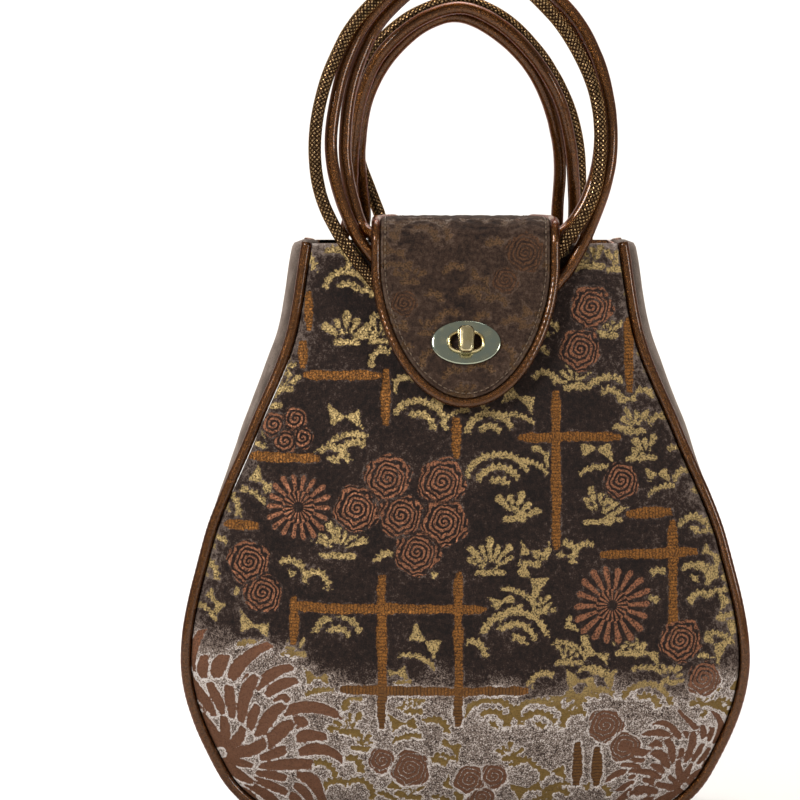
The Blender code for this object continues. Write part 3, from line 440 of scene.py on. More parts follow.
    def pile_colour(self, tree: bpy.types.NodeTree, low: bpy.types.NodeSocket, grit: bpy.types.NodeSocket,
                    tuft: bpy.types.NodeSocket, edge: bpy.types.NodeSocket) -> bpy.types.NodeSocket:
        """Colours the pile from its dark depth to the pale grey painted sheen of its tips, with a painted highlight
        round each motif.
        """
        reach = add_node(tree, "MapRange", {0: low, 3: self.specks[0], 4: self.specks[1]})
        speck = add_node(tree, "MapRange", {0: grit, 1: 0.3, 2: 0.7, 3: -1.0, 4: 1.0})
        # The attribute read here is painted sheen baked into the cloth: along the panels' seams, at the mouth, over the
        # lower belly, and along the flap's edge and ridges.
        pile = add_node(tree, "Attribute", attribute_name="nap", out="Fac")
        pile = add_node(tree, "Math", {0: speck, 1: reach, 2: pile}, operation="MULTIPLY_ADD")
        clump = add_node(tree, "MapRange", {0: tuft, 1: 0.3, 2: 0.7, 3: -0.12, 4: 0.12})
        pile = add_node(tree, "Math", {0: pile, 1: clump}, operation="ADD")
        # rim is a painted highlight along each motif's edge, brighter in the lower zone.
        rim = add_node(tree, "MapRange", {0: edge, 1: -1.1, 2: -0.4}, interpolation_type="SMOOTHSTEP")
        inside = add_node(tree, "MapRange", {0: edge, 1: 0.2, 2: 0.9, 3: 1.0, 4: 0.0})
        rim = add_node(tree, "Math", {0: rim, 1: inside}, operation="MULTIPLY")
        rise = add_node(tree, "MapRange", {0: low, 3: 0.1, 4: 0.28})
        pile = add_node(tree, "Math", {0: rim, 1: rise, 2: pile}, operation="MULTIPLY_ADD")
        node = add_node(tree, "ValToRGB", {0: pile}).node
        node.color_ramp.elements[0].position = 0.12
        node.color_ramp.elements[0].color = linear(self.deep)
        node.color_ramp.elements[1].color = linear(self.sheen_silver)
        for place, code in ((0.36, self.mid), (0.7, self.wear_and_sheen)):
            node.color_ramp.elements.new(place).color = linear(code)
        return node.outputs[0]

    def ribs(self, tree: bpy.types.NodeTree, wobble: bpy.types.NodeSocket) -> bpy.types.NodeSocket:
        """Draws dark furrows across the fence bars."""
        along = add_node(tree, "Attribute", attribute_name="bar_at", out="Fac")
        wave = add_node(tree, "Math", {0: along, 1: 1 / self.rib_pitch}, operation="MULTIPLY")
        wave = add_node(tree, "Math", {0: wobble, 1: 0.35, 2: wave}, operation="MULTIPLY_ADD")
        wave = add_node(tree, "Math", {0: wave, 1: 0.5}, operation="PINGPONG")
        return add_node(tree, "MapRange", {0: wave, 1: 0.06, 2: 0.22, 3: 0.7, 4: 0.0})

    def petals_and_rings(self, tree: bpy.types.NodeTree, wobble: bpy.types.NodeSocket,
                         low: bpy.types.NodeSocket) -> bpy.types.NodeSocket:
        """Draws the blossoms' coiled rings and the daisies' petals round each flower's own middle."""
        own = add_node(tree, "Attribute", attribute_name="rose_at", out="Vector")
        x = add_node(tree, "SeparateXYZ", {0: own}, out=0)
        y, style = x.node.outputs[1], x.node.outputs[2]
        flat = add_node(tree, "VectorMath", {0: own, 1: (1.0, 1.0, 0.0)}, operation="MULTIPLY")
        reach = add_node(tree, "VectorMath", {0: flat}, out="Value", operation="LENGTH")
        bent = add_node(tree, "TexNoise", {"Vector": own, "Scale": 0.16, "Detail": 1.0})
        bent = add_node(tree, "MapRange", {0: bent, 1: 0.3, 2: 0.7, 3: 0.86, 4: 1.14})
        bowed = add_node(tree, "Math", {0: reach, 1: bent}, operation="MULTIPLY")
        turn = add_node(tree, "Math", {0: y, 1: x}, operation="ARCTAN2")
        turn = add_node(tree, "Math", {0: turn, 1: 2 * math.pi}, operation="DIVIDE")
        coil = add_node(tree, "Math", {0: bowed, 1: 1 / self.ring_pitch, 2: turn}, operation="MULTIPLY_ADD")
        coil = add_node(tree, "Math", {0: wobble, 1: 0.2, 2: coil}, operation="MULTIPLY_ADD")
        ring = add_node(tree, "Math", {0: coil, 1: 0.5}, operation="PINGPONG")
        ring = add_node(tree, "Math", {0: low, 1: 0.15, 2: ring}, operation="MULTIPLY_ADD")
        ring = add_node(tree, "MapRange", {0: ring, 1: 0.2, 2: 0.3})
        row = add_node(tree, "MapRange", {0: reach, 1: 7.8, 2: 8.4, 3: 0.0, 4: 0.5})
        petal = add_node(tree, "Math", {0: turn, 1: self.petals, 2: row}, operation="MULTIPLY_ADD")
        petal = add_node(tree, "Math", {0: petal, 1: 0.5}, operation="PINGPONG")
        petal = add_node(tree, "Math", {0: wobble, 1: 0.1, 2: petal}, operation="MULTIPLY_ADD")
        petal = add_node(tree, "MapRange", {0: petal, 1: 0.2, 2: 0.3})
        heart = add_node(tree, "MapRange", {0: reach, 1: 2.4, 2: 3.0})
        petal = add_node(tree, "Math", {0: petal, 1: heart}, operation="MULTIPLY")
        return add_node(tree, "Mix", {0: style, 2: ring, 3: petal}, data_type="FLOAT")


@dataclass(frozen=True)
class PlainVelvet(Finish):
    """Plain silk velvet on the sides: the pile lies across the light, so it looks pale and dusty."""

    name: str = "plain_silk_velvet"
    deep: str = "#1c1411"
    mid: str = "#463a33"
    pale: str = "#7d7068"
    pile_grit: float = 0.75  # coarser than real pile, 0.1 mm, so that it shows

    def make(self) -> bpy.types.Material:
        """Builds the material."""
        material, tree, shader = self.start({"Roughness": 0.92, "Sheen Weight": 0.2, "Specular IOR Level": 0.2,
                                             "Sheen Tint": linear("#cfb8a4")})
        spot = add_node(tree, "TexCoord", out="Object")
        grit = add_node(tree, "TexNoise", {"Vector": spot, "Scale": 1000 / self.pile_grit, "Detail": 3.0})
        brushed = add_node(tree, "TexNoise", {"Vector": spot, "Scale": 1000 / 7.0, "Detail": 3.0})
        nap = add_node(tree, "Attribute", attribute_name="nap", out="Fac")
        nap = add_node(tree, "Math", {0: nap, 1: add_node(tree, "MapRange", {0: grit, 1: 0.3, 2: 0.7, 3: -0.2, 4: 0.2})},
                       operation="ADD")
        nap = add_node(tree, "Math", {0: nap, 1: add_node(tree, "MapRange", {0: brushed, 1: 0.3, 2: 0.7, 3: -0.14,
                                                                             4: 0.14})}, operation="ADD")
        # The ramp turns the baked level into colour: deep where painted shade lies in the folds, pale for the painted
        # sheen on the crown.
        node = add_node(tree, "ValToRGB", {0: nap}).node
        node.color_ramp.elements[0].color = linear(self.deep)
        node.color_ramp.elements[1].color = linear(self.pale)
        node.color_ramp.elements.new(0.5).color = linear(self.mid)
        tree.links.new(node.outputs[0], shader.inputs["Base Color"])
        bump = add_node(tree, "Bump", {"Height": grit, "Strength": 0.5, "Distance": 0.0006})
        tree.links.new(bump, shader.inputs["Normal"])
        return material


@dataclass(frozen=True)
class MetalLeather(Finish):
    """Foiled kid leather: a thin bronze film over fine grain, with a narrow bright glint along each fold."""

    name: str = "bronze_foiled_kid"
    film: str = "#5c3819"
    wear_and_sheen: str = "#1a0d05"
    rough: float = 0.22
    grain: float = 0.7

    def make(self) -> bpy.types.Material:
        """Builds the material."""
        material, tree, shader = self.start({"Metallic": 0.95, "Coat Weight": 0.5, "Coat Roughness": 0.12,
                                             "Specular Tint": linear("#dba263")})
        spot = add_node(tree, "TexCoord", out="Object")
        pores = add_node(tree, "TexVoronoi", {"Vector": spot, "Scale": 1000 / self.grain}, feature="DISTANCE_TO_EDGE")
        creased = add_node(tree, "TexNoise", {"Vector": spot, "Scale": 1000 / 1.1, "Detail": 4.0, "Roughness": 0.7})
        crack = add_node(tree, "MapRange", {0: pores, 1: 0.0, 2: 0.14})
        wear = add_node(tree, "MapRange", {0: creased, 1: 0.3, 2: 0.62, 3: 0.25})
        wear = add_node(tree, "Math", {0: wear, 1: add_node(tree, "MapRange", {0: crack, 3: 0.6, 4: 1.0})},
                        operation="MULTIPLY")
        colour = add_node(tree, "Mix", {0: wear, 6: linear(self.wear_and_sheen), 7: linear(self.film)}, out=2, data_type="RGBA")
        tree.links.new(colour, shader.inputs["Base Color"])
        tree.links.new(add_node(tree, "MapRange", {0: wear, 3: self.rough + 0.16, 4: self.rough}),
                       shader.inputs["Roughness"])
        height = add_node(tree, "Math", {0: creased, 1: 0.6, 2: crack}, operation="MULTIPLY_ADD")
        bump = add_node(tree, "Bump", {"Height": height, "Strength": 0.4, "Distance": 0.0002})
        tree.links.new(bump, shader.inputs["Normal"])
        return material


@dataclass(frozen=True)
class ScaleLeather(Finish):
    """Embossed leather with small staggered beads on a dark ground: each bead's pale dome is its foil with a painted
    glint.
    """

    name: str = "bead_embossed_leather"
    film: str = "#b39268"
    gap: str = "#22150c"
    pitch_along: float = 2.4
    pitch_round: float = 20.7 / 8  # eight beads round a handle

    def make(self) -> bpy.types.Material:
        """Builds the material on the tube's own UV map, which is in millimetres."""
        material, tree, shader = self.start({"Metallic": 0.9, "Roughness": 0.26, "Specular Tint": linear("#dcb07c")})
        own = add_node(tree, "UVMap", uv_map="UVMap")
        x = add_node(tree, "SeparateXYZ", {0: own}, out=0)
        y = x.node.outputs[1]
        spot = add_node(tree, "TexCoord", out="Object")
        stray = add_node(tree, "TexNoise", {"Vector": spot, "Scale": 1000 / 3.0, "Detail": 1.0})
        ridges = []
        for sign in (1.0, -1.0):
            slant = add_node(tree, "Math", {0: y, 1: sign / self.pitch_round}, operation="MULTIPLY")
            slant = add_node(tree, "Math", {0: stray, 1: 0.35, 2: slant}, operation="MULTIPLY_ADD")
            slant = add_node(tree, "Math", {0: x, 1: 1 / self.pitch_along, 2: slant}, operation="MULTIPLY_ADD")
            ridges.append(add_node(tree, "Math", {0: slant, 1: 0.5}, operation="PINGPONG"))
        bead = add_node(tree, "Math", {0: ridges[0], 1: ridges[1]}, operation="MINIMUM")
        dome = add_node(tree, "MapRange", {0: bead, 1: 0.07, 2: 0.34}, interpolation_type="SMOOTHSTEP")
        glint_breakup = add_node(tree, "TexNoise", {"Vector": spot, "Scale": 1000 / 1.3, "Detail": 2.0})
        # lit is a painted glint: the pale film colour on each dome stands for both the foil and its highlight, broken
        # up at random.
        lit = add_node(tree, "Math", {0: dome, 1: add_node(tree, "MapRange", {0: glint_breakup, 1: 0.36, 2: 0.6, 3: 0.2})},
                       operation="MULTIPLY")
        colour = add_node(tree, "Mix", {0: lit, 6: linear(self.gap), 7: linear(self.film)}, out=2, data_type="RGBA")
        tree.links.new(colour, shader.inputs["Base Color"])
        bump = add_node(tree, "Bump", {"Height": dome, "Strength": 1.0, "Distance": 0.0005})
        tree.links.new(bump, shader.inputs["Normal"])
        return material


@dataclass(frozen=True)
class CastMetal(Finish):
    """Polished, plated zinc: smooth and bright, with soft rubbed patches."""

    name: str = "pale_gold_plated_zinc"
    colour: str = "#cfc19a"
    rubbed: str = "#b3a06e"
    rough: float = 0.12

    def make(self) -> bpy.types.Material:
        """Builds the material."""
        material, tree, shader = self.start({"Metallic": 1.0})
        spot = add_node(tree, "TexCoord", out="Object")
        rub = add_node(tree, "TexNoise", {"Vector": spot, "Scale": 1000 / 5.0, "Detail": 4.0})
        rub = add_node(tree, "MapRange", {0: rub, 1: 0.35, 2: 0.7})
        colour = add_node(tree, "Mix", {0: rub, 6: linear(self.colour), 7: linear(self.rubbed)}, out=2,
                          data_type="RGBA")
        tree.links.new(colour, shader.inputs["Base Color"])
        tree.links.new(add_node(tree, "MapRange", {0: rub, 3: self.rough, 4: self.rough + 0.14}),
                       shader.inputs["Roughness"])
        return material


@dataclass(frozen=True)
class WovenCloth(Finish):
    """Plain woven cloth: fine crossed threads, soft and dull."""

    name: str = "lining_sateen"
    thread: str = "#3a2a20"
    shade: str = "#1d140f"
    pitch: float = 0.8  # coarser than the real 0.3 mm, so that it shows

    def make(self) -> bpy.types.Material:
        """Builds the material."""
        material, tree, shader = self.start({"Roughness": 0.75, "Sheen Weight": 0.2})
        spot = add_node(tree, "TexCoord", out="Object")
        waves = [add_node(tree, "TexWave", {"Vector": spot, "Scale": 1000 / self.pitch / 20 * 3.2, "Distortion": 1.0},
                          out="Fac", bands_direction=axis) for axis in ("X", "Z")]
        weave = add_node(tree, "Math", {0: waves[0], 1: waves[1]}, operation="MULTIPLY")
        colour = add_node(tree, "Mix", {0: weave, 6: linear(self.shade), 7: linear(self.thread)}, out=2,
                          data_type="RGBA")
        tree.links.new(colour, shader.inputs["Base Color"])
        bump = add_node(tree, "Bump", {"Height": weave, "Strength": 0.3, "Distance": 0.0002})
        tree.links.new(bump, shader.inputs["Normal"])
        return material


# ---- the bag's own shape


@dataclass(frozen=True)
class BagShape:
    """The bag's outline, seams, crowns and gusset by height, as the CAD model has them."""

    heights: tuple[float, ...] = (5.7, 14, 36, 92, 150, 205, 258, 302)
    half_widths: tuple[float, ...] = (70, 99, 121, 138.5, 127.5, 105.5, 84.7, 77.5)
    crowns: tuple[float, ...] = (0, 13, 23, 30, 28, 22, 11, 2.5)
    seam_heights: tuple[float, ...] = (5.7, 36, 92, 150, 205, 258, 302)
    seams: tuple[float, ...] = (42, 47, 52, 48, 40.5, 32.5, 26.5)
    bulges: tuple[float, ...] = (5.7, 5, 5, 5.2, 9.3, 11, 10.5)
    crown_power: float = 0.9
    base: float = 5.7
    mouth: float = 302
    turn: float = 36
    belly: float = 92
    panel_thick: float = 2.5
    piping_r: float = 2.7
    gap: float = 0.3
    seam_inset: float = 0.5

    def half_width(self, z: Array) -> Array:
        """Half width of the panels at each height."""
        return monotone(self.heights, self.half_widths)(z)

    def seam(self, z: Array) -> Array:
        """Depth of the seams from the middle plane at each height."""
        return monotone(self.seam_heights, self.seams)(z)

    def depth(self, x: Array, z: Array) -> Array:
        """Distance of a panel's outer face from the middle plane."""
        share = np.minimum(1.0, np.abs(x) / self.half_width(z))
        return self.seam(z) + monotone(self.heights, self.crowns)(z) * (1 - share * share) ** self.crown_power

    def outline(self, step: float) -> tuple[Array, Array]:
        """Walks the panels' outline from the left of the mouth, under the base, to the right.

        Args:
            step: Millimetres between points.

        Returns:
            The points (x, z) and their outward directions.
        """
        z = self.base + (self.mouth - self.base) * np.linspace(0, 1, 500) ** 2
        right = np.stack((self.half_width(z), z), axis=1)
        path = np.vstack((right[::-1] * (-1, 1), right))
        path = resample(path, round(path_length(path) / step) + 1)
        along = np.gradient(path, axis=0)
        along /= np.linalg.norm(along, axis=1, keepdims=True)
        return path, np.stack((along[:, 1], -along[:, 0]), axis=1)

    def on_panel(self, x: Array, z: Array, side: Side, lift: Array | float) -> Array:
        """Gives points at a height over a panel's outer face; above the mouth they go straight up."""
        x, z = np.broadcast_arrays(np.asarray(x, float), np.asarray(z, float))
        low = np.minimum(z, self.mouth - 1)
        across = (self.depth(x + 1, low) - self.depth(x - 1, low)) / 2
        rise = (self.depth(x, low + 1) - self.depth(x, low - 1)) / 2
        out = np.stack((-across, np.full(x.shape, float(side.value)), -rise), axis=-1)
        out /= np.linalg.norm(out, axis=-1, keepdims=True)
        spot = np.stack((x, side.value * self.depth(x, low), z), axis=-1)
        return spot + out * np.asarray(lift, float)[..., None]


SHAPE = BagShape()


# ---- foil motifs


@dataclass
class FoilLayout:
    """Foil motifs on one cloth, in millimetres of the cloth's own plane."""

    bars: tuple[tuple[float, float, float, float], ...] = ()
    blooms: tuple[tuple[float, float, float], ...] = ()
    daisies: tuple[tuple[float, float, float], ...] = ()
    mums: tuple[tuple[float, float, float], ...] = ()
    sprays: tuple[tuple[float, float, float, float, Spray], ...] = ()
    bar_half: float = 2.4
    mum_petals: float = 8.0  # petals in a ring for each of its radii, as a share of the flower's size
    filler_step: float = 14.5
    filler_size: float = 8.2
    filler_box: tuple[float, float, float, float] = (-140, 0, 140, 302)
    seed: int = 7

    def fields(self, x: Array, y: Array) -> dict[str, Array]:
        """Measures each point against the motifs.

        Args:
            x: Position across the cloth.
            y: Position up the cloth.

        Returns:
            Signed distances in millimetres, more than 0 inside a motif, and places along bars and in flowers.
        """
        copper, bar_at = self.bar_field(x, y)
        rose, rose_at = self.flower_field(x, y)
        petal = self.mum_field(x, y)
        gold = np.full(x.shape, -9.0)
        for spray in [*self.sprays, *self.filler()]:
            self.add_spray(gold, x, y, *spray)
        gold = np.minimum(gold, np.minimum(-copper, np.minimum(-rose, -petal)) - 1.2)
        petal = np.minimum(petal, -copper - 1.0)
        copper = np.minimum(copper, -np.minimum(rose, 0.5 + 0 * x) + 0.2)
        return {"copper": copper, "gold": gold, "rose": rose, "petal": petal, "rose_at": rose_at, "bar_at": bar_at}

    def bar_field(self, x: Array, y: Array) -> tuple[Array, Array]:
        """Signed distance to the tapering fence bars, and each point's place along its bar."""
        found = np.full(x.shape, -9.0)
        place = np.zeros(x.shape)
        for k, (cx, cy, length, turn) in enumerate(self.bars):
            c, s = math.cos(math.radians(turn)), math.sin(math.radians(turn))
            along = (x - cx) * c + (y - cy) * s
            across = (y - cy) * c - (x - cx) * s + 0.5 * value_noise(along, 0 * x + 11.3 * k, 14, 3)
            left = length / 2 - np.abs(along)
            half = self.bar_half * (1 + 0.2 * value_noise(along, 0 * x + 7.7 * k, 7, 4))
            half = half * (0.6 + 0.4 * smoothstep(-1, 7, left))
            bar = np.minimum(half - np.abs(across), left)
            place = np.where(bar > found, along, place)
            found = np.maximum(found, bar)
        return found, place

    def flower_field(self, x: Array, y: Array) -> tuple[Array, Array]:
        """Signed distance to the round flowers, and each point's place in its own flower."""
        best = np.full(x.shape, 1e3)
        second = np.full(x.shape, 1e3)
        place = np.zeros((*x.shape, 3))
        flowers = [(*b, 0.0) for b in self.blooms] + [(*d, 1.0) for d in self.daisies]
        for cx, cy, radius, style in flowers:
            dx, dy = x - cx, y - cy
            angle = np.arctan2(dy, dx)
            bend = 0.06 * np.cos(5 * angle + cx) + 0.04 * np.cos(3 * angle + cy)
            ripple = bend if style == 0 else 0.08 * np.cos(18 * angle) + 0.05 * np.cos(4 * angle + cx)
            beyond = np.hypot(dx, dy) - radius * (1 + ripple)
            nearer = beyond < best
            second = np.where(nearer, best, np.minimum(second, beyond))
            best = np.where(nearer, beyond, best)
            place[nearer] = np.stack((dx, dy, 0 * dx + style), axis=-1)[nearer]
        return np.minimum(-best, (second - best) / 2 - 0.5), place

    def mum_field(self, x: Array, y: Array) -> Array:
        """Signed distance to the long, bent petals of the large chrysanthemums, in staggered rings."""
        found = np.full(x.shape, -9.0)
        for cx, cy, size in self.mums:
            reach = np.hypot(x - cx, y - cy)
            turn = np.arctan2(y - cy, x - cx) + 0.18 * np.sin(reach / size * 5 + cx)
            turn = turn + 0.12 * value_noise(x, y, size / 3, 5)
            for ring, (inner, outer) in enumerate(((0.6, 1.0), (0.3, 0.72), (0.04, 0.38))):
                count = round(2 * math.pi * (inner + outer) / 2 * self.mum_petals)
                pitch = 2 * math.pi / count
                index = np.floor((turn + ring * pitch / 2) / pitch)
                local = (turn + ring * pitch / 2) - (index + 0.5) * pitch
                tip = outer * (1 - 0.3 * (np.sin(index * 2.4 + ring) * 0.5 + 0.5))
                along = np.clip((reach / size - inner) / (tip - inner), 0, 1)
                width = 0.48 * pitch * (inner + tip) / 2 * size * np.sqrt(np.clip(1 - (along * 1.7 - 0.9) ** 2, 0, 1))
                ends = np.minimum(reach / size - inner, tip - reach / size) * size
                petal = np.minimum(width - np.abs(local) * reach, ends) - 0.3
                found = np.maximum(np.minimum(found, -petal - 0.9), petal)
        return found

    def filler(self) -> list[tuple[float, float, float, float, Spray]]:
        """Scatters small sprays over the cloth that the other motifs leave bare."""
        rng = np.random.default_rng(self.seed)
        x0, y0, x1, y1 = self.filler_box
        found: list[tuple[float, float, float, float, Spray]] = []
        for row, cy in enumerate(np.arange(y0, y1, self.filler_step * 0.84)):
            for cx in np.arange(x0 + (row % 2) * self.filler_step / 2, x1, self.filler_step):
                px, py = np.array([cx, cy]) + rng.uniform(-3, 3, 2)
                turn = rng.uniform(50, 130)
                size = self.filler_size * rng.uniform(0.8, 1.2)
                kind = (Spray.ARCS, Spray.FAN, Spray.ARCS, Spray.WINGS)[rng.integers(4)]
                spot = (np.array([px]), np.array([py]))
                clear = max(self.bar_field(*spot)[0][0], self.flower_field(*spot)[0][0], self.mum_field(*spot)[0])
                apart = all(math.hypot(px - s[0], py - s[1]) > 0.75 * (s[2] + size) for s in self.sprays)
                if clear < -0.34 * size and apart:
                    found.append((float(px), float(py), float(size), float(turn), kind))
        return found

    def add_spray(self, gold: Array, x: Array, y: Array, cx: float, cy: float, size: float, turn: float,
                  kind: Spray) -> None:
        """Adds one spray of foliage: a fan of fingers, toothed arcs, or a pair of wings over a toothed bar."""
        near = np.nonzero((np.abs(x - cx) < size * 1.4) & (np.abs(y - cy) < size * 1.4))[0]
        dx, dy = x[near] - cx, y[near] - cy
        reach = np.hypot(dx, dy)
        angle = (np.arctan2(dy, dx) - math.radians(turn) + math.pi) % (2 * math.pi) - math.pi
        if kind is Spray.FAN:
            count = 7 if size > 13 else 5
            pitch = math.radians(150) / count
            finger = np.clip(np.rint(angle / pitch), -(count // 2), count // 2)
            off = angle - finger * pitch
            along, across = reach * np.cos(off), reach * np.sin(off)
            tip = size * (1.0 - 0.2 * (np.abs(finger) % 2))
            width = np.clip(0.36 * pitch * along, 0.5, 2.3)
            spray = width - np.hypot(np.maximum(0.25 * size - along, 0) + np.maximum(along - tip, 0), across)
            foot = 1.5 - np.hypot(np.maximum(np.abs(dx) - size * 0.45, 0), dy + size * 0.12)
            spray = np.maximum(spray, foot)
        elif kind is Spray.ARCS:
            spray = np.full(reach.shape, -9.0)
            for ring, radius in enumerate(np.arange(size, 3.0, -6.2)):
                tooth = 1.7 * np.abs(((angle * radius / 2.9 + ring * 0.3) % 1.0) * 2 - 1)
                band = np.minimum(reach - radius + 2.6, radius - 0.2 + tooth - reach)
                ends = (math.radians(72 - 12 * ring) - np.abs(angle + 0.25 * ring)) * radius * 0.6
                spray = np.maximum(spray, np.minimum(band, ends))
        else:
            side, up = reach * np.sin(angle), reach * np.cos(angle)
            slope = 0.62 + 0.2 * np.sign(side) * math.sin(cx)
            wings = np.minimum(slope * np.abs(side) + 0.5 - np.abs(up - size * 0.35 - 0.3 * side), size * 0.7 - np.abs(side))
            tooth = 1.3 * np.abs(((side / 2.6) % 1.0) * 2 - 1)
            bow = up + size * 0.42 + 0.03 * side * side
            bar = np.minimum(np.minimum(bow + 1.4, 0.6 + tooth - bow), size * 0.9 - np.abs(side))
            spray = np.maximum(wings, bar)
        gold[near] = np.maximum(gold[near], spray)


PANEL_LAYOUT = FoilLayout(
    bars=((-39, 122, 98, 0), (-16, 81, 94, 0), (-42, 100, 78, 90), (-4, 102, 78, 90), (45, 190, 78, 90),
          (52, 206, 52, 0), (-62, 236, 40, 0), (-92, 195, 38, 0), (-113, 161, 18, 0), (-40, 226, 28, 90),
          (-5, 206, 20, 90), (-79, 268, 20, 90), (-82, 246, 14, 90), (-86, 115, 24, 90), (83, 246, 38, 90),
          (92, 168, 24, 0), (104, 136, 56, 90), (92, 148, 50, 0), (56, 42, 24, 90), (66, 40, 22, 90)),
    blooms=((-39, 186, 12), (-12, 184.5, 12), (-54.5, 171, 11.5), (-32.5, 168, 11.5), (-11, 165, 12), (-24.5, 150, 11.5),
            (-109, 143, 11), (-102, 128, 10), (64, 270, 11), (58, 249, 10.5), (78, 184, 9), (108, 104, 11),
            (120, 84, 9), (-97, 211, 6.5), (-86, 214, 6), (-91, 203, 6), (-82, 205, 5.5), (70, 62, 9), (80, 50, 8),
            (-28, 40, 10), (-42, 44, 7), (2, 34, 8), (14, 36, 7), (8, 24, 7)),
    daisies=((-84, 171, 15.5), (73, 123, 18.5)),
    mums=((-124, 44, 66), (112, 26, 44)),
    sprays=((-64, 150, 18, 88, Spray.FAN), (-60, 276, 13, 90, Spray.ARCS), (-60, 254, 12, 90, Spray.FAN),
            (12, 206, 13, 95, Spray.ARCS), (16, 180, 19, 105, Spray.ARCS), (24, 168, 11, 70, Spray.FAN),
            (12, 142, 14, 92, Spray.FAN), (30, 134, 11, 60, Spray.WINGS), (24, 104, 18, 88, Spray.ARCS),
            (66, 166, 14, 60, Spray.FAN), (66, 196, 11, 95, Spray.WINGS), (72, 222, 14, 75, Spray.ARCS),
            (26, 222, 11, 80, Spray.WINGS), (-64, 106, 13, 92, Spray.ARCS), (-22, 103, 11, 70, Spray.WINGS),
            (-60, 212, 11, 100, Spray.WINGS), (-24, 210, 15, 75, Spray.ARCS), (-104, 180, 9, 60, Spray.WINGS),
            (-22, 136, 8, 90, Spray.ARCS), (12, 62, 16, 80, Spray.ARCS), (36, 60, 17, 100, Spray.ARCS),
            (-106, 108, 10, 90, Spray.WINGS), (90, 70, 14, 80, Spray.ARCS)))

FLAP_LAYOUT = FoilLayout(
    bars=((-24, 108, 22, 20), (30, 104, 18, 70)),
    blooms=((30, 80, 10), (20, 66, 7), (-31, 54, 7), (16, 112, 6)),
    sprays=((-22, 84, 15, 80, Spray.ARCS), (4, 92, 15, 100, Spray.ARCS), (-36, 78, 8, 90, Spray.WINGS),
            (-28, 66, 8, 90, Spray.FAN), (-14, 22, 9, 120, Spray.ARCS), (16, 24, 9, 60, Spray.ARCS),
            (34, 46, 8, 90, Spray.WINGS), (0, 128, 15, 90, Spray.ARCS), (28, 122, 13, 70, Spray.FAN),
            (-28, 128, 14, 90, Spray.ARCS), (10, 158, 15, 90, Spray.FAN), (-20, 156, 13, 80, Spray.ARCS)),
    bar_half=2.0, filler_step=15, filler_size=6.5, filler_box=(-44, 4, 44, 190), seed=11)


# ---- velvet shell


@dataclass
class VelvetPanel:
    """One bell-shaped panel of cut velvet, its foil motifs sunk into the pile."""

    side: Side
    shape: BagShape = SHAPE
    layout: FoilLayout = field(default_factory=lambda: PANEL_LAYOUT)
    columns: int = 330
    rows: int = 298
    row_power: float = 1.3
    pile: float = 0.8
    lip_r: float = 1.8
    dull_top: float = 84.0

    def spot(self, u: Array, v: Array) -> tuple[Array, Array]:
        """Gives x and z for the shares across and up the panel."""
        z = self.shape.base + (self.shape.mouth - self.shape.base) * v ** self.row_power
        return (2 * u - 1) * self.shape.half_width(z), z

    def fields(self, u: Array, v: Array) -> dict[str, Array]:
        """Gives the motifs' fields, the pile's tone with its painted sheen, and how dull the foil is."""
        x, z = self.spot(u, v)
        found = self.layout.fields(x, z)
        patchy = 0.6 * value_noise(x, z, 16, 21) + 0.4 * value_noise(0.8 * x + 0.6 * z, 0.8 * z - 0.6 * x, 5, 22)
        # low marks the lower belly, where the pile is painted with sheen and the foil is drawn darker and less
        # metallic.
        top = self.dull_top + 18 * smoothstep(-60, -95, x)
        low = smoothstep(12, -10, z - top + 13 * patchy)
        # edge and lip are painted sheen: along the seams, where the face turns away, and over the rounded mouth.
        to_seam = (1 - np.abs(2 * u - 1)) * self.shape.half_width(z)
        edge = np.exp(-to_seam / 6.0) + 0.5 * np.exp(-to_seam / 18.0) * (0.5 + 0.5 * patchy)
        lip = np.exp(-(self.shape.mouth - z) / 5.0)
        nap = 0.24 + 0.1 * patchy + 0.4 * low + 0.16 * edge + 0.35 * lip
        found["low"] = low
        found["nap"] = np.clip(nap, 0, 1.1)
        return found

    def place(self, u: Array, v: Array) -> Array:
        """Gives the pile's surface, lower where foil presses it down."""
        x, z = self.spot(u, v)
        found = self.layout.fields(x, z)
        foil = np.maximum.reduce([found[key] for key in ("copper", "gold", "rose", "petal")])
        relief = -self.pile * smoothstep(-0.7, 0.7, foil) + 0.25 * value_noise(x, z, 3, 31)
        relief = relief + 0.5 * value_noise(x, z, 28, 32)
        to_seam = (1 - np.abs(2 * u - 1)) * self.shape.half_width(z)
        relief = relief * smoothstep(0, 4, to_seam)
        lip = np.clip(1 - (self.shape.mouth - z) / self.lip_r, 0, 1)
        relief = relief * (1 - lip) - self.lip_r * (1 - np.sqrt(1 - lip * lip))
        return np.stack((x, self.side.value * (self.shape.depth(x, z) + relief), z), axis=1)

    def build(self, velvet: bpy.types.Material) -> None:
        """Builds the panel and dresses it."""
        name = "front_velvet" if self.side is Side.FRONT else "back_velvet"
        obj = warped_grid(name, self.columns, self.rows, self.place, flip=self.side is Side.BACK,
                          rim=self.shape.panel_thick, fields=self.fields)
        dress(obj, velvet, Slot.VELVET, "front_panel" if self.side is Side.FRONT else "back_panel")


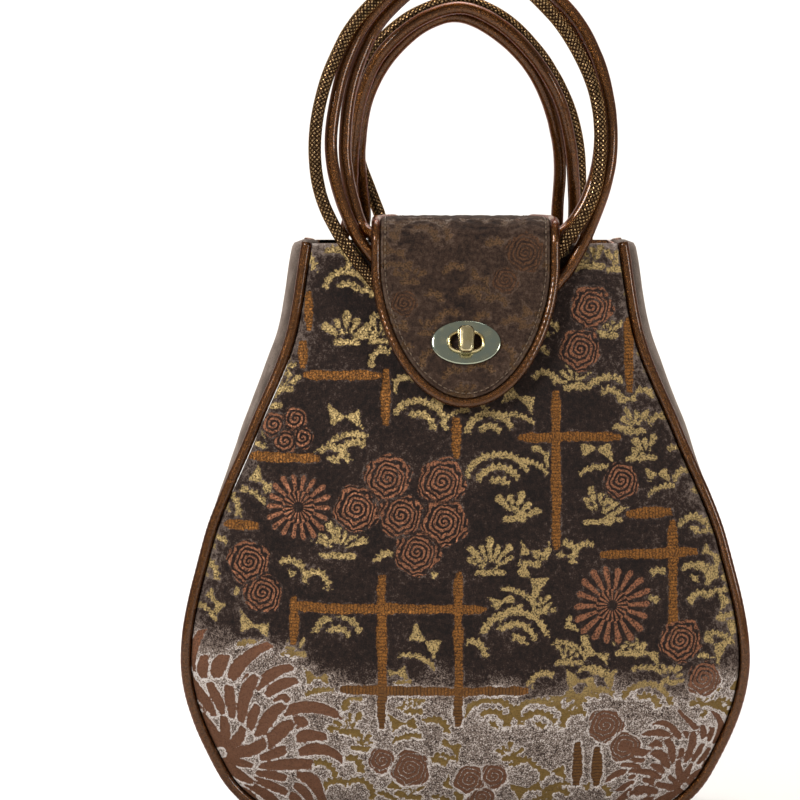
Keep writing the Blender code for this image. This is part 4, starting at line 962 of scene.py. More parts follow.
@dataclass
class Gusset:
    """The plain velvet strip between the panels, down the sides and under the base."""

    shape: BagShape = SHAPE
    step: float = 2.2
    columns: int = 44
    edge: float = 3.0
    flat_share: float = 0.72
    thick: float = 2.0
    fold_r: float = 4.5

    def build(self, velvet: bpy.types.Material) -> None:
        """Builds the strip and dresses it."""
        path, outs = self.shape.outline(self.step)
        middle = monotone(self.shape.seam_heights, self.shape.bulges)(path[:, 1]) - self.edge
        half = self.shape.seam(path[:, 1]) - (self.shape.piping_r + self.shape.gap + self.shape.seam_inset)
        flatness = np.clip((path[:, 1] - self.shape.base) / self.shape.turn, 0, 1)

        def spot(u: Array, v: Array) -> tuple[Array, Array]:
            """Gives the station and the share across for the grid's shares."""
            return np.rint(u * (len(path) - 1)).astype(int), 2 * v - 1

        def place(u: Array, v: Array) -> Array:
            """Gives the strip's outer face, soft and a little uneven."""
            i, share = spot(u, v)
            reach = np.abs(share)
            level = 1 - (np.maximum(0, reach - self.flat_share) / (1 - self.flat_share)) ** 2
            arch = (1 - reach ** 2.4) ** 0.7
            rise = self.edge + middle[i] * (level * (1 - flatness[i]) + arch * flatness[i])
            rise = rise + 0.5 * flatness[i] * value_noise(path[i, 1], share * 40, 17, 41) * (1 - reach ** 4)
            lip = np.clip(1 - (self.shape.mouth - path[i, 1]) / self.fold_r, 0, 1)
            rise = rise - self.fold_r * (1 - np.sqrt(1 - lip * lip))
            spots = path[i] + outs[i] * rise[:, None]
            return np.stack((spots[:, 0], share * half[i], spots[:, 1]), axis=1)

        def fields(u: Array, v: Array) -> dict[str, Array]:
            """Gives the pile's tone with painted light: painted shade in the fold beside the piping, painted sheen on
            the crown, and darker towards the base.
            """
            i, share = spot(u, v)
            nap = 0.8 - 0.65 * np.abs(share) ** 3 + 0.16 * value_noise(path[i, 1] + path[i, 0], share * 30, 12, 42)
            return {"nap": np.clip(nap - 0.25 * smoothstep(60, 10, path[i, 1]), 0, 1)}

        obj = warped_grid("gusset_velvet", len(path) - 1, self.columns, place, flip=True, rim=self.thick,
                          fields=fields)
        dress(obj, velvet, Slot.TAUPE, "gusset")


@dataclass
class SeamPiping:
    """Leather piping sewn into a panel's seam."""

    side: Side
    shape: BagShape = SHAPE
    step: float = 1.7
    sides: int = 14

    def build(self, leather: bpy.types.Material) -> None:
        """Builds the piping and dresses it."""
        path, outs = self.shape.outline(self.step)
        reach = self.shape.piping_r + self.shape.gap
        spots = path + outs * reach
        y = self.side.value * (self.shape.seam(path[:, 1]) - self.shape.seam_inset)
        word = self.side.name.lower()

        def swell(along: Array, _: Array) -> Array:
            """The cord inside shows as a slow unevenness between the stitches."""
            return 0.07 * np.sin(along * 2 * np.pi / 3.4) + 0.06 * value_noise(along, 0 * along, 9, 51)

        obj = tube(f"{word}_piping_cord", np.stack((spots[:, 0], y, spots[:, 1]), axis=1),
                   self.shape.piping_r, self.sides, swell)
        dress(obj, leather, Slot.LEATHER, f"{word}_piping")


@dataclass
class MouthAndLining:
    """The facing inside the mouth and the sewn inner bag below it."""

    shape: BagShape = SHAPE
    around: int = 144
    facing_height: float = 32.0
    facing_thick: float = 1.5
    lining_ease: float = 1.6
    lining_thick: float = 0.8
    turn_ease: float = 4.0
    floor: float = 4.6
    foot_inset: float = 14.28

    def ring(self, u: Array, z: Array, depth: float, inset: float) -> Array:
        """Gives points on a level ring inside the bag, a depth behind both panels' faces."""
        shape_z = np.maximum(self.shape.base, z - self.turn_ease * np.maximum(0, 1 - z / self.shape.belly))
        half = self.shape.half_width(shape_z) - inset
        face = np.where(u < 0.5, -1.0, 1.0)
        x = face * half * np.cos(2 * np.pi * u)
        x = np.where(u < 0.5, -half * np.cos(2 * np.pi * u), half * np.cos(2 * np.pi * (u - 0.5)))
        return np.stack((x, face * (self.shape.depth(x, shape_z) - depth), z), axis=1)

    def build(self, leather: bpy.types.Material, cloth: bpy.types.Material) -> None:
        """Builds both bands and dresses them."""
        near = self.shape.panel_thick + 2 * self.shape.gap
        top = self.shape.mouth

        def facing(u: Array, v: Array) -> Array:
            """The facing as one closed band: down its outer face and up its inner one."""
            z = top - self.facing_height * np.clip(np.minimum(v, 1 - v) * 2.2, 0, 1)
            inner = smoothstep(0.46, 0.54, v)
            spots = self.ring(u, z, near, 1.0)
            return spots + (self.ring(u, z, near + self.facing_thick, 1.0 + self.facing_thick) - spots) * inner[:, None]

        obj = warped_grid("mouth_facing_band", self.around, 30, facing, closed=True)
        dress(obj, leather, Slot.LEATHER, "mouth_facing")
        depth = self.shape.panel_thick + self.lining_ease
        lining_top = top - self.facing_height - self.shape.gap

        def lining(u: Array, v: Array) -> Array:
            """The inner bag, with soft folds that die out at its top seam."""
            z = self.shape.base + 2 + (lining_top - self.shape.base - 2) * v ** 1.4
            fold = 0.7 * (1 + value_noise(u * 140, z * 0.25, 9, 61)) * smoothstep(0, 30, lining_top - z)
            spots = self.ring(u, z, depth, self.lining_ease)
            inner = self.ring(u, z, depth + 3, self.lining_ease + 3)
            return spots + (inner - spots) * (fold / 3 * smoothstep(8, 40, z))[:, None]

        def foot(u: Array, v: Array) -> Array:
            """The inner bag's floor, from its rim to its middle line."""
            z = np.full(u.shape, self.shape.base)
            spots = self.ring(u, z, self.foot_inset * 1.0, self.lining_ease + 2)
            spots[:, 1] *= 1 - v
            spots[:, 2] = self.floor
            return spots

        obj = warped_grid("inner_bag", self.around, 70, lining)
        solid = obj.modifiers.new("cloth", "SOLIDIFY")
        solid.thickness = self.lining_thick * MM
        solid.offset = 0.0
        dress(obj, cloth, Slot.LINING, "lining")
        obj = warped_grid("inner_bag_floor", self.around, 8, foot)
        solid = obj.modifiers.new("cloth", "SOLIDIFY")
        solid.thickness = self.lining_thick * MM
        solid.offset = 0.0
        dress(obj, cloth, Slot.LINING)


# ---- flap


@dataclass
class Flap:
    """The velvet flap over the mouth, with its leather backing, piping and stitching."""

    shape: BagShape = SHAPE
    root_z: float = 258.0
    rise: float = 9.5
    back_y: float = 28.0
    front_y: float = -38.5
    break_at: tuple[float, float] = (-42.5, 285.0)
    tip_z: float = 221.0
    corner_r: float = 11.0
    soft_r: float = 40.0
    liner: float = 1.0
    velvet: float = 2.0
    piping_r: float = 2.4
    half_w: float = 47.5
    root_half_w: float = 34.0
    tongue: float = 73.0
    tongue_power: float = 1.75
    waist_start: float = 125.0
    lock_z: float = 250.0
    lock_tilt: float = math.radians(20)
    standoff: float = 6.3
    plate_h: float = 23.0
    slot_w: float = 16.2
    slot_h: float = 9.8

    def __post_init__(self) -> None:
        """Works out the side view once."""
        self.path = resample(self.profile(), 480)[::-1]
        self.total = path_length(self.path)
        along = np.stack([self.path[min(k + 4, 479)] - self.path[max(k - 4, 0)] for k in range(480)])
        along /= np.linalg.norm(along, axis=1, keepdims=True)
        self.outs = np.stack((-along[:, 1], along[:, 0]), axis=1)

    def profile(self) -> Array:
        """Side view (y, z) of the flap's inner face, from its root at the back to its tip."""
        slope = math.tan(self.lock_tilt)
        lock_y = -float(self.shape.depth(np.array(0.0), np.array(self.lock_z)))
        away = lock_y - self.standoff / math.cos(self.lock_tilt)
        join = self.lock_z + 0.8 * self.plate_h
        root_y = float(self.shape.depth(np.array(0.0), np.array(self.root_z))) + self.shape.gap
        corners = [(root_y, self.root_z), (self.back_y, self.shape.mouth + self.rise),
                   (self.front_y, self.shape.mouth + self.rise), self.break_at,
                   (away - (self.lock_z - join) * slope, join), (away - (self.lock_z - self.tip_z) * slope, self.tip_z)]
        path = [Vector(corners[0])]
        for k, radius in enumerate((self.corner_r, self.corner_r, self.soft_r, self.soft_r), start=1):
            before, here, after = (Vector(corners[k + i]) for i in (-1, 0, 1))
            a, b = (before - here).normalized(), (after - here).normalized()
            turn = math.pi - a.angle(b)
            centre = here + (a + b).normalized() * (radius / math.cos(turn / 2))
            start = here + a * (radius * math.tan(turn / 2)) - centre
            end = here + b * (radius * math.tan(turn / 2)) - centre
            count = max(2, math.ceil(radius * turn / 0.7))
            path += [centre + start.slerp(end, i / count).normalized() * radius for i in range(count + 1)]
        path.append(Vector(corners[-1]))
        return np.array([tuple(p) for p in path])

    def half(self, length: Array) -> Array:
        """Half width, piping included, at each length from the tip."""
        share = np.clip(1 - length / self.tongue, 0, 1)
        tongue = self.half_w * np.sqrt(1 - share ** self.tongue_power)
        back = np.clip((length - self.waist_start) / (self.total - self.waist_start) * 2, 0, 1)
        waist = self.half_w + (self.root_half_w - self.half_w) * back * back * (3 - 2 * back)
        return np.where(length < self.tongue, tongue, waist)

    def edge(self, inset: float, count: int) -> Array:
        """Right-hand outline (x, length) from the tip to the root, moved inwards by an inset."""
        lengths = self.tongue * (1 - np.cos(np.linspace(0, np.pi / 2, 200)))
        lengths = np.concatenate((lengths[:-1], np.linspace(self.tongue, self.total, 200)))
        path = np.stack((self.half(lengths), lengths), axis=1)
        path = np.vstack(((-path[1, 0], path[1, 1]), path))
        along = np.gradient(path, axis=0)
        along /= np.linalg.norm(along, axis=1, keepdims=True)
        moved = (path + np.stack((-along[:, 1], along[:, 0]), axis=1) * inset)[1:]
        moved[0, 0] = 0.0
        moved[-1, 1] = self.total
        return resample(moved, count)

    def point(self, x: Array, length: Array, lift: Array) -> Array:
        """Gives points of the flap at a height over its inner face."""
        k = np.clip(length / self.total, 0, 1) * (len(self.path) - 1)
        spot = np.stack([np.interp(k, np.arange(len(self.path)), self.path[:, i]) for i in (0, 1)], axis=1)
        out = np.stack([np.interp(k, np.arange(len(self.path)), self.outs[:, i]) for i in (0, 1)], axis=1)
        at = spot + out * np.asarray(lift)[:, None]
        return np.stack((x, at[:, 0], at[:, 1]), axis=1)

    def layer(self, name: str, low: float, high: float, inset: float, rows: int, columns: int,
              relief: Callable[[Array, Array, Array], Array] | None = None, fields: Callable | None = None
              ) -> bpy.types.Object:
        """Builds one layer as a closed skin: over its outer face and back under its inner one."""
        edge = self.edge(inset, rows + 1)

        def spot(u: Array, v: Array) -> tuple[Array, Array, Array, Array]:
            """Gives x, length, the share of thickness and the distance to the edge."""
            i = np.rint(v * rows).astype(int)
            turned = u * 2
            over = np.where(turned <= 1, turned, 2 - turned) * 2 - 1
            outer = turned <= 1
            half = edge[i, 0]
            to_edge = np.minimum((1 - np.abs(over)) * half, edge[i, 1] - inset)
            return over * half, edge[i, 1], outer, to_edge

        def place(u: Array, v: Array) -> Array:
            """Gives the layer's skin, its outer face rounded down at the edge."""
            x, length, outer, to_edge = spot(u, v)
            top = high + (relief(x, length, to_edge) if relief else 0 * x)
            middle = (low + high) / 2
            top = middle + (top - middle) * np.sqrt(np.clip(to_edge / 2.0, 0, 1) * (2 - np.clip(to_edge / 2.0, 0, 1)))
            lift = np.where(outer, top, np.minimum(low + 0 * x, middle))
            return self.point(x, length, lift)

        def attributes(u: Array, v: Array) -> dict[str, Array]:
            """Gives the layer's named fields."""
            x, length, _, to_edge = spot(u, v)
            return fields(x, length, to_edge)

        return warped_grid(name, columns * 2, rows, place, closed=True, fields=attributes if fields else None)

    def velvet_fields(self, x: Array, length: Array, to_edge: Array) -> dict[str, Array]:
        """Gives the tone-on-tone motifs and the pile's painted sheen along the rounded edge and over the ridges."""
        found = FLAP_LAYOUT.fields(x, length)
        patchy = 0.5 * value_noise(x, length, 11, 71) + 0.5 * value_noise(0.8 * x + 0.6 * length,
                                                                          0.8 * length - 0.6 * x, 6, 72)
        # The edge and ridge terms are painted sheen.
        nap = 0.3 + 0.1 * patchy + 0.2 * np.exp(-to_edge / 2.5) + 0.14 * self.ridges(x, length)
        found["nap"] = np.clip(nap, 0, 1)
        found["low"] = 0.25 + 0.25 * value_noise(x, length, 22, 72)
        return found

    def velvet_relief(self, x: Array, length: Array, to_edge: Array) -> Array:
        """Gives the pile's height over the cloth."""
        found = FLAP_LAYOUT.fields(x, length)
        foil = np.maximum(found["gold"], found["rose"])
        relief = -0.6 * smoothstep(-0.7, 0.7, foil) + 0.25 * value_noise(x, length, 3, 73)
        groove = 0.7 * np.exp(-((to_edge - 2.2) / 0.8) ** 2)
        return relief + 0.3 * self.ridges(x, length) - groove

    def ridges(self, x: Array, length: Array) -> Array:
        """Gives the wavy ridges that the bent pile shows across the flap's top, -1 to 1."""
        bend = value_noise(0.8 * x + 0.6 * length, 0.8 * length - 0.6 * x, 9, 74)
        wave = np.sin(length * 1.7 + 4.0 * bend + 0.8 * np.sin(x / 7)) * (0.6 + 0.4 * value_noise(x, length, 7, 75))
        return wave * smoothstep(72, 92, length) * smoothstep(170, 150, length)

    def build(self, velvet: bpy.types.Material, leather: bpy.types.Material, thread: bpy.types.Material) -> None:
        """Builds the flap's pieces and dresses them."""
        low = self.liner + self.shape.gap
        inset = 2 * self.piping_r
        cloth = self.layer("flap_velvet", low, low + self.velvet, inset, 260, 96, self.velvet_relief,
                           self.velvet_fields)
        dress(cloth, velvet, Slot.VELVET, "flap_outer")
        backing = self.layer("flap_lining_leather", 0.0, self.liner, inset, 120, 40)
        dress(backing, leather, Slot.LEATHER, "flap_backing")
        half = self.edge(self.piping_r, 260)
        run = np.vstack((half[:0:-1] * (-1, 1), half))
        lift = np.full(len(run), (low + self.velvet) / 2)
        cord = tube("flap_piping_cord", self.point(run[:, 0], run[:, 1], lift), self.piping_r, 14,
                    lambda along, _: 0.06 * np.sin(along * 2 * np.pi / 3.2))
        dress(cord, leather, Slot.LEATHER, "flap_piping")
        half = self.edge(inset + 2.2, 200)
        run = np.vstack((half[:0:-1] * (-1, 1), half))
        run = run[run[:, 1] < self.total - 14]
        lift = np.full(len(run), low + self.velvet)
        seam = self.point(run[:, 0], run[:, 1], lift)
        outs = seam - self.point(run[:, 0], run[:, 1], lift - 1)
        dress(stitch_row("flap_stitches", seam, outs, 3.1, 0.28), thread, Slot.LEATHER)


# ---- turn lock


@dataclass
class TurnLock:
    """The turn lock's plated pieces, on an axis that tilts up from the front panel."""

    flap: Flap
    plate: tuple[float, float, float] = (35.0, 23.0, 2.0)
    opening: tuple[float, float, float] = (15.6, 9.2, 2.6)
    plate_low: float = 9.9
    plate_thick: float = 1.2
    eyelet: tuple[float, float, float] = (19.0, 12.6, 2.3)
    eyelet_hole: tuple[float, float, float] = (15.0, 8.6, 2.6)
    eyelet_low: float = 11.4
    eyelet_thick: float = 1.6
    knob: tuple[float, float] = (8.2, 14.0)
    knob_flare: float = 0.16
    knob_low: float = 13.3
    knob_thick: float = 6.0
    stem_r: float = 2.5
    stem_low: float = 1.8
    sides: int = 96

    def frame(self) -> Matrix:
        """The lock's own frame: Z along its axis, outwards, X to the right."""
        tilt = self.flap.lock_tilt
        axis = Vector((0, -math.cos(tilt), math.sin(tilt)))
        right = Vector((1, 0, 0))
        turned = Matrix((right, axis.cross(right), axis)).transposed().to_4x4()
        z = self.flap.lock_z
        turned.translation = (0, -float(self.flap.shape.depth(np.array(0.0), np.array(z))), z)
        return turned

    def to_bag(self, spots: Array) -> Array:
        """Moves points from the lock's frame to the bag's."""
        turned = np.array(self.frame())
        return spots @ turned[:3, :3].T + turned[:3, 3]

    @staticmethod
    def oval(u: Array, width: Array, height: Array, power: Array) -> Array:
        """Points of an oval: power 2 is an ellipse, more is squarer."""
        c, s = np.cos(2 * np.pi * u), np.sin(2 * np.pi * u)
        return np.stack((width / 2 * np.sign(c) * np.abs(c) ** (2 / power),
                         height / 2 * np.sign(s) * np.abs(s) ** (2 / power)), axis=1)

    def ring(self, name: str, outer: tuple[float, float, float], inner: tuple[float, float, float],
             section: Sequence[tuple[float, float]]) -> bpy.types.Object:
        """Sweeps a section, as shares from the outer to the inner oval and heights, round the axis."""
        run = resample(np.array([*section, section[0]], float), 41)

        def place(u: Array, v: Array) -> Array:
            """Gives the ring's skin."""
            i = np.rint(v * 40).astype(int)
            share = run[i, 0][:, None]
            flat = self.oval(u, *outer) * (1 - share) + self.oval(u, *inner) * share
            return self.to_bag(np.hstack((flat, run[i, 1][:, None])))

        return warped_grid(name, self.sides, 40, place, closed=True)

    def build(self, gold: bpy.types.Material, champagne: bpy.types.Material, steel: bpy.types.Material) -> None:
        """Builds the plated pieces, dresses them and redresses the hidden ones."""
        low, high = self.plate_low, self.plate_low + self.plate_thick
        plate = self.ring("lock_oval_plate", self.plate, self.opening,
                          ((0, low), (0, low + 0.4), (0.03, low + 0.8), (0.1, high - 0.12), (0.2, high), (0.94, high),
                           (1, high - 0.1), (1, low)))
        dress(plate, champagne, Slot.GOLD, "lock_plate")
        low, high = self.eyelet_low, self.eyelet_low + self.eyelet_thick
        ring = self.ring("lock_slot_ring", self.eyelet, self.eyelet_hole,
                         ((0, low), (0.02, low + 0.6), (0.2, high - 0.3), (0.5, high), (0.8, high - 0.3),
                          (1, low + 0.6), (1, low)))
        dress(ring, gold, Slot.GOLD, "lock_eyelet")
        self.build_knob(gold)
        for node in ("lock_base",):
            redress(node, gold)
        for node in ("lock_backplate", "lock_rivet", "lock_washer"):
            redress(node, steel)

    def build_knob(self, gold: bpy.types.Material) -> None:
        """Builds the turning knob: a bar with rounded corners on a round stem."""
        width, height = self.knob
        low, thick = self.knob_low, self.knob_thick
        rows = ((self.stem_r * 2, self.stem_r * 2, self.stem_low), (self.stem_r * 2, self.stem_r * 2, low),
                (width * 0.74, height * 0.74, low), (width * 0.9, height * 0.92, low + 0.5),
                (width, height, low + thick * 0.3), (width, height, low + thick * 0.6),
                (width * 0.93, height * 0.96, low + thick * 0.82), (width * 0.74, height * 0.88, low + thick * 0.96),
                (width * 0.4, height * 0.6, low + thick))
        run = resample(np.array(rows, float), 61)

        def place(u: Array, v: Array) -> Array:
            """Gives the knob's skin."""
            i = np.rint(v * 60).astype(int)
            head = smoothstep(low - 0.2, low + 0.4, run[i, 2])
            flat = self.oval(u, run[i, 0], run[i, 1], 2 + 1.6 * head)
            flat[:, 0] *= 1 + self.knob_flare * head * flat[:, 1] / self.knob[1]
            return self.to_bag(np.hstack((flat, run[i, 2][:, None])))

        obj = warped_grid("lock_turn_knob", self.sides, 60, place, closed=True)
        dress(obj, gold, Slot.GOLD, "lock_knob", body=Body.KNOB)


# ---- handles


@dataclass(frozen=True)
class Route:
    """One rolled handle: its lanes at the left and right tab and the points between them.

    Where a point's y is None, the handle lies on its panel.
    """

    name: str
    left: int
    points: tuple[tuple[float, float | None, float], ...]
    right: int


FRONT_ROUTES = (
    Route("front_handle_woven", 0, (
        (-45, None, 281), (-54, -34.5, 293), (-65, -36, 309), (-73, -36, 327), (-76, -33, 348), (-74, -30, 370),
        (-67, -26, 393), (-54, -22, 416), (-30, -20, 437), (-5, -20, 446), (20, -20, 439), (44, -22, 418),
        (58, -26, 397), (66, -31, 376), (68, -36, 354), (66, -39, 332), (60, -40, 317), (51.5, -37.9, 304.5),
        (43, -35.7, 292)), 1),
    Route("front_handle_outer", 1, (
        (-44, None, 291.6), (-55, -31.8, 306.5), (-64, -29, 328), (-68, -25.5, 350), (-66, -22.5, 372),
        (-60, -18.5, 395), (-48, -14, 417), (-26, -12.5, 437), (2, -12.5, 446), (30, -12.5, 439),
        (54, -15, 419), (67, -19, 396), (73, -24, 372), (74, -28, 350), (71, -31, 332), (66, -31, 317),
        (60, -32, 303), (53, -34.6, 290.5), (46, None, 281.4)), 0),
    Route("front_handle_inner", 2, (
        (-37.2, -34.4, 296.1), (-42.2, -33.1, 302.3), (-46.2, -31, 306), (-52.5, -24.6, 311), (-57, -21.5, 324),
        (-60, -19, 338), (-61, -18, 352), (-59, -15, 375), (-53, -11, 396), (-42, -7, 416), (-20, -5, 435),
        (6, -5, 442), (32, -5, 435), (52, -7, 416), (64, -11, 394), (69, -16, 368), (68, -20, 344),
        (62, -23, 324), (53.5, -25, 311), (46.2, -31, 306), (42.2, -33.1, 302.3), (37.2, -34.4, 296.1)), 2))

BACK_ROUTES = (
    Route("back_handle_woven", 2, (
        (-46, 39, 298), (-43, 40, 311), (-48, 38, 326), (-55, 33, 348), (-55, 28, 380), (-46, 24.5, 402),
        (-26, 22.5, 419), (-2, 22.5, 426), (20, 22.5, 418), (39, 24.5, 400), (53, 28, 377), (60, 34, 355),
        (62, 38, 335), (62, 40, 317), (66, 38.5, 300)), 0),
    Route("back_handle_outer", 1, (
        (-56, 36, 298), (-51.5, 35, 312), (-53, 29, 330), (-54, 24, 350), (-50, 19, 375), (-39, 16, 396),
        (-22, 14.5, 412), (-4, 14.5, 418), (14, 14.5, 411), (32, 16, 395), (43, 20, 376), (49, 26, 356),
        (51, 31, 338), (50, 35.5, 318), (50, 37, 300)), 2),
    Route("back_handle_inner", 0, (
        (-65, 33.5, 298), (-60, 28.5, 313), (-58, 21, 332), (-57, 16, 352), (-53, 11.5, 376), (-43, 8.5, 398),
        (-24, 7, 415), (-2, 7, 422), (18, 7, 414), (36, 8.5, 397), (49, 12.5, 376), (55, 18, 355),
        (57.5, 23.5, 336), (58.5, 29.5, 317), (58, 33.5, 300)), 1))


@dataclass
class HandleSet:
    """Three rolled handles on one panel and the leather tabs that hold their ends."""

    side: Side
    routes: tuple[Route, ...]
    tab: tuple[float, float, float]
    shape: BagShape = SHAPE
    radius: float = 3.3
    lane_step: float = 7.7
    lift: float = 3.9
    tab_length: float = 16.0
    tab_width: float = 25.0
    tab_thick: float = 5.0
    step: float = 1.5
    sides: int = 20

    def tab_place(self, hand: int, along: Array, across: Array) -> tuple[Array, Array]:
        """Gives (x, z) along the handles' heading from the tab's end face, and across it."""
        x, z, turn = self.tab
        c, s = math.cos(math.radians(turn)), math.sin(math.radians(turn))
        return hand * (x + c * along - s * across), z + s * along + c * across

    def path(self, route: Route) -> Array:
        """Gives the handle's middle line from its left end to its right end."""
        ends = {}
        for hand, lane in ((-1, route.left), (1, route.right)):
            across = np.full(2, (lane - 1) * self.lane_step)
            spot = self.tab_place(hand, np.array([self.shape.gap, self.shape.gap + self.radius]), across)
            ends[hand] = self.shape.on_panel(*spot, self.side, self.lift)
        middle = [self.shape.on_panel(x, z, self.side, self.lift) if y is None else np.array((x, y, z), float)
                  for x, y, z in route.points]
        points = np.vstack((ends[-1], middle, ends[1][::-1]))
        points = np.vstack((points[0] * 2 - points[1], points, points[-1] * 2 - points[-2]))
        t = np.arange(8)[:, None] / 8
        run = [b + (c - a) * (t / 2) + (a * 2 - b * 5 + c * 4 - d) * (t * t / 2) + (b * 3 - a - c * 3 + d) * (t ** 3 / 2)
               for a, b, c, d in zip(points, points[1:], points[2:], points[3:])]
        run = np.vstack((*run, points[-2]))
        return resample(run, round(path_length(run) / self.step))

    def build(self, leather: bpy.types.Material, scales: bpy.types.Material, thread: bpy.types.Material) -> None:
        """Builds the handles and their tabs and dresses them."""
        for route in self.routes:
            woven = route.name.endswith("woven")
            obj = tube(route.name.replace("handle", "rolled_handle"), self.path(route), self.radius, self.sides,
                       lambda along, v: (0.07 * value_noise(along, np.cos(2 * np.pi * v), 6, 81)
                                         - 0.3 * np.exp(-((v - 0.5) / 0.03) ** 2)))
            dress(obj, scales if woven else leather, Slot.EMBOSSED if woven else Slot.LEATHER, route.name)
        for word, hand in (("left", -1), ("right", 1)):
            self.build_tab(f"{self.side.name.lower()}_tab_{word}", hand, leather, thread)

    def build_tab(self, node: str, hand: int, leather: bpy.types.Material, thread: bpy.types.Material) -> None:
        """Builds one padded leather tab with a row of stitches round its face."""

        def place(u: Array, v: Array) -> Array:
            """Gives the tab's skin: a rounded slab, thinner at its ends."""
            c, s = np.cos(2 * np.pi * v), np.sin(2 * np.pi * v)
            end = (1 - np.abs(2 * u - 1) ** 8) ** 0.3
            across = self.tab_width / 2 * np.sign(c) * np.abs(c) ** 0.45 * (0.9 + 0.1 * end)
            lift = (self.tab_thick + 0.6) / 2 + (self.tab_thick - 0.6) / 2 * np.sign(s) * np.abs(s) ** 0.45 * end
            return self.shape.on_panel(*self.tab_place(hand, -self.tab_length * u, across), self.side, lift)

        obj = warped_grid(f"{node}_leather", 32, 48, place, closed=True)
        dress(obj, leather, Slot.LEATHER, node)
        inset = 2.2
        w, length = self.tab_width / 2 - inset, self.tab_length - 2 * inset
        loop = resample(np.array([(0, -w), (0, w), (1, w), (1, -w), (0, -w)]) * (length, 1.0), 60)
        spot = self.tab_place(hand, -inset - loop[:, 0], loop[:, 1])
        seam = self.shape.on_panel(*spot, self.side, self.tab_thick)
        outs = seam - self.shape.on_panel(*spot, self.side, self.tab_thick - 1)
        dress(stitch_row(f"{node}_stitches", seam, outs, 2.6, 0.28), thread, Slot.LEATHER)


# ---- studio


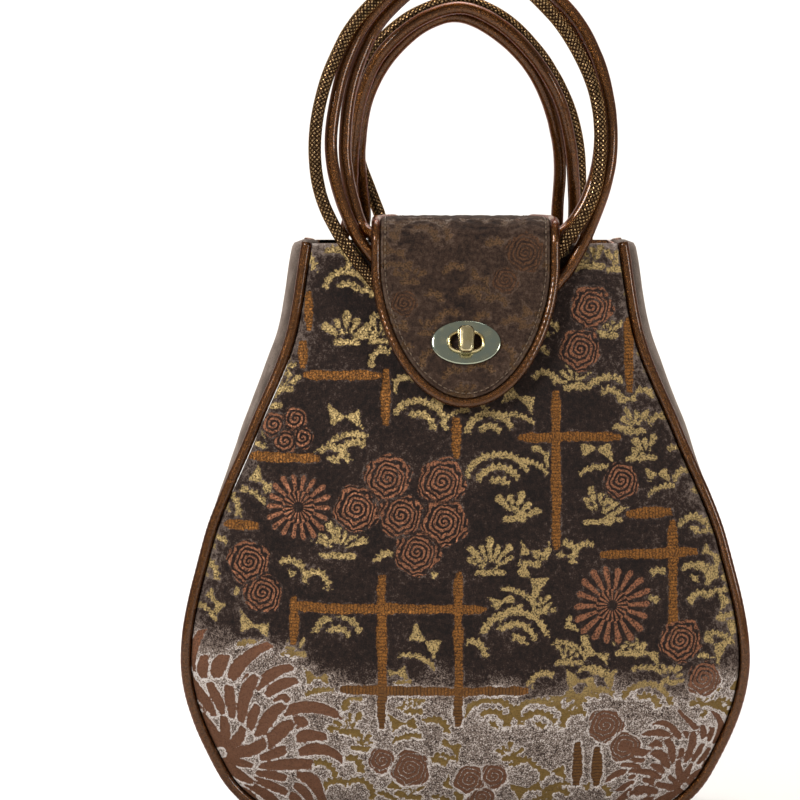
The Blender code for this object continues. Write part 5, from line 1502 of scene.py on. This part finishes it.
@dataclass
class Studio:
    """A pale sweep, soft lights and the camera."""

    aim: tuple[float, float, float] = (-0.033, -0.06, 0.225)
    elevation: float = 5.0
    distance: float = 1.6
    lens: float = 144.0
    paper: str = "#e8e5e1"

    def build(self) -> None:
        """Builds the floor and backdrop, the lights and the camera."""
        self.build_sweep()
        self.build_lights()
        camera = bpy.data.cameras.new("camera")
        camera.lens = self.lens
        camera.sensor_width = 36.0
        camera.clip_end = 20.0
        obj = bpy.data.objects.new("camera", camera)
        lean = math.radians(self.elevation)
        away = Vector((0, -math.cos(lean), math.sin(lean)))
        obj.location = Vector(self.aim) + away * self.distance
        obj.rotation_euler = away.to_track_quat("Z", "Y").to_euler()
        bpy.context.scene.collection.objects.link(obj)
        bpy.context.scene.camera = obj
        bpy.context.scene.view_settings.view_transform = "Standard"

    def build_sweep(self) -> None:
        """Builds the paper: a floor that curves up into the backdrop."""
        line = [(-3000.0, 0.0), (2100.0, 0.0)]
        line += [(2100 + 800 * math.sin(a), 800 - 800 * math.cos(a)) for a in np.linspace(0.08, math.pi / 2, 20)]
        line.append((2900.0, 4500.0))
        run = resample(np.array(line), 161)

        def place(u: Array, v: Array) -> Array:
            """Gives the paper's surface."""
            i = np.rint(v * 160).astype(int)
            return np.stack(((u - 0.5) * 7000, run[i, 0], run[i, 1]), axis=1)

        obj = warped_grid("paper_sweep", 4, 160, place)
        material = bpy.data.materials.new("studio_paper")
        material.use_nodes = True
        tree = material.node_tree
        shader = tree.nodes["Principled BSDF"]
        shader.inputs["Roughness"].default_value = 0.9
        spot = add_node(tree, "TexCoord", out="Object")
        fibre = add_node(tree, "TexNoise", {"Vector": spot, "Scale": 60.0, "Detail": 4.0})
        colour = add_node(tree, "Mix", {0: add_node(tree, "MapRange", {0: fibre, 3: 0.0, 4: 0.06}),
                                        6: linear(self.paper), 7: linear("#d8d4cf")}, out=2, data_type="RGBA")
        tree.links.new(colour, shader.inputs["Base Color"])
        obj.data.materials.append(material)

    def build_lights(self) -> None:
        """Builds a large soft key, a fill and a weak light from behind, in a pale room."""
        world = bpy.data.worlds.new("room")
        world.use_nodes = True
        back = world.node_tree.nodes["Background"]
        back.inputs["Color"].default_value = linear("#f2f1ef")
        back.inputs["Strength"].default_value = 0.42
        bpy.context.scene.world = world
        bag, paper = (0, 0, 0.2), (0, 2.9, 0.9)
        lamps = (("key", (-1.0, -1.3, 1.3), bag, 0.5, 32.0), ("fill", (1.4, -1.1, 0.6), bag, 0.5, 9.0),
                 ("top", (0.2, 0.5, 1.7), bag, 0.9, 12.0), ("paper_wash", (0, 1.4, 3.2), paper, 2.0, 90.0))
        for name, place, target, size, power in lamps:
            lamp = bpy.data.lights.new(name, "AREA")
            lamp.size = size
            lamp.energy = power
            obj = bpy.data.objects.new(name, lamp)
            obj.location = place
            obj.rotation_euler = (Vector(place) - Vector(target)).to_track_quat("Z", "Y").to_euler()
            bpy.context.scene.collection.objects.link(obj)


def main() -> None:
    """Builds the studio and every piece of the handbag."""
    Studio().build()
    velvet = CutVelvet().make()
    # The flap velvet's two palest pile tones are painted sheen, as on the panels.
    flap_velvet = CutVelvet(name="flap_cut_velvet", deep="#150d09", mid="#32231a", wear_and_sheen="#57463a", sheen_silver="#8a7a6c",
                            copper="#573820", gold="#553d26", rose="#52351f", dull_copper="#452b18",
                            dull_gold="#45301d", dull_rose="#40291b", metal=0.45, ring_pitch=2.0,
                            specks=(0.08, 0.2)).make()
    sides = PlainVelvet().make()
    leather = MetalLeather().make()
    handle_leather = MetalLeather(name="rolled_bronze_kid", film="#643d1b", wear_and_sheen="#1a0d05", rough=0.2).make()
    scales = ScaleLeather().make()
    gold = CastMetal().make()
    champagne = CastMetal(name="champagne_plated_zinc", colour="#98a192", rubbed="#a3a38a", rough=0.1).make()
    steel = CastMetal(name="nickelled_steel", colour="#c9c9c6", rubbed="#8f8f8c", rough=0.3).make()
    sateen = WovenCloth().make()
    board = WovenCloth(name="grey_board", thread="#9a8f80", shade="#7a7064", pitch=1.5).make()
    thread = WovenCloth(name="waxed_thread", thread="#7c6549", shade="#4a3827", pitch=0.6).make()

    for side in Side:
        VelvetPanel(side).build(velvet)
        SeamPiping(side).build(leather)
    Gusset().build(sides)
    MouthAndLining().build(leather, sateen)
    redress("base_board", board)
    flap = Flap()
    flap.build(flap_velvet, leather, thread)
    TurnLock(flap).build(gold, champagne, steel)
    HandleSet(Side.FRONT, FRONT_ROUTES, (31.5, 276.5, 50)).build(handle_leather, scales, thread)
    HandleSet(Side.BACK, BACK_ROUTES, (59, 284, 90)).build(handle_leather, scales, thread)


if __name__ == "__main__":
    main()
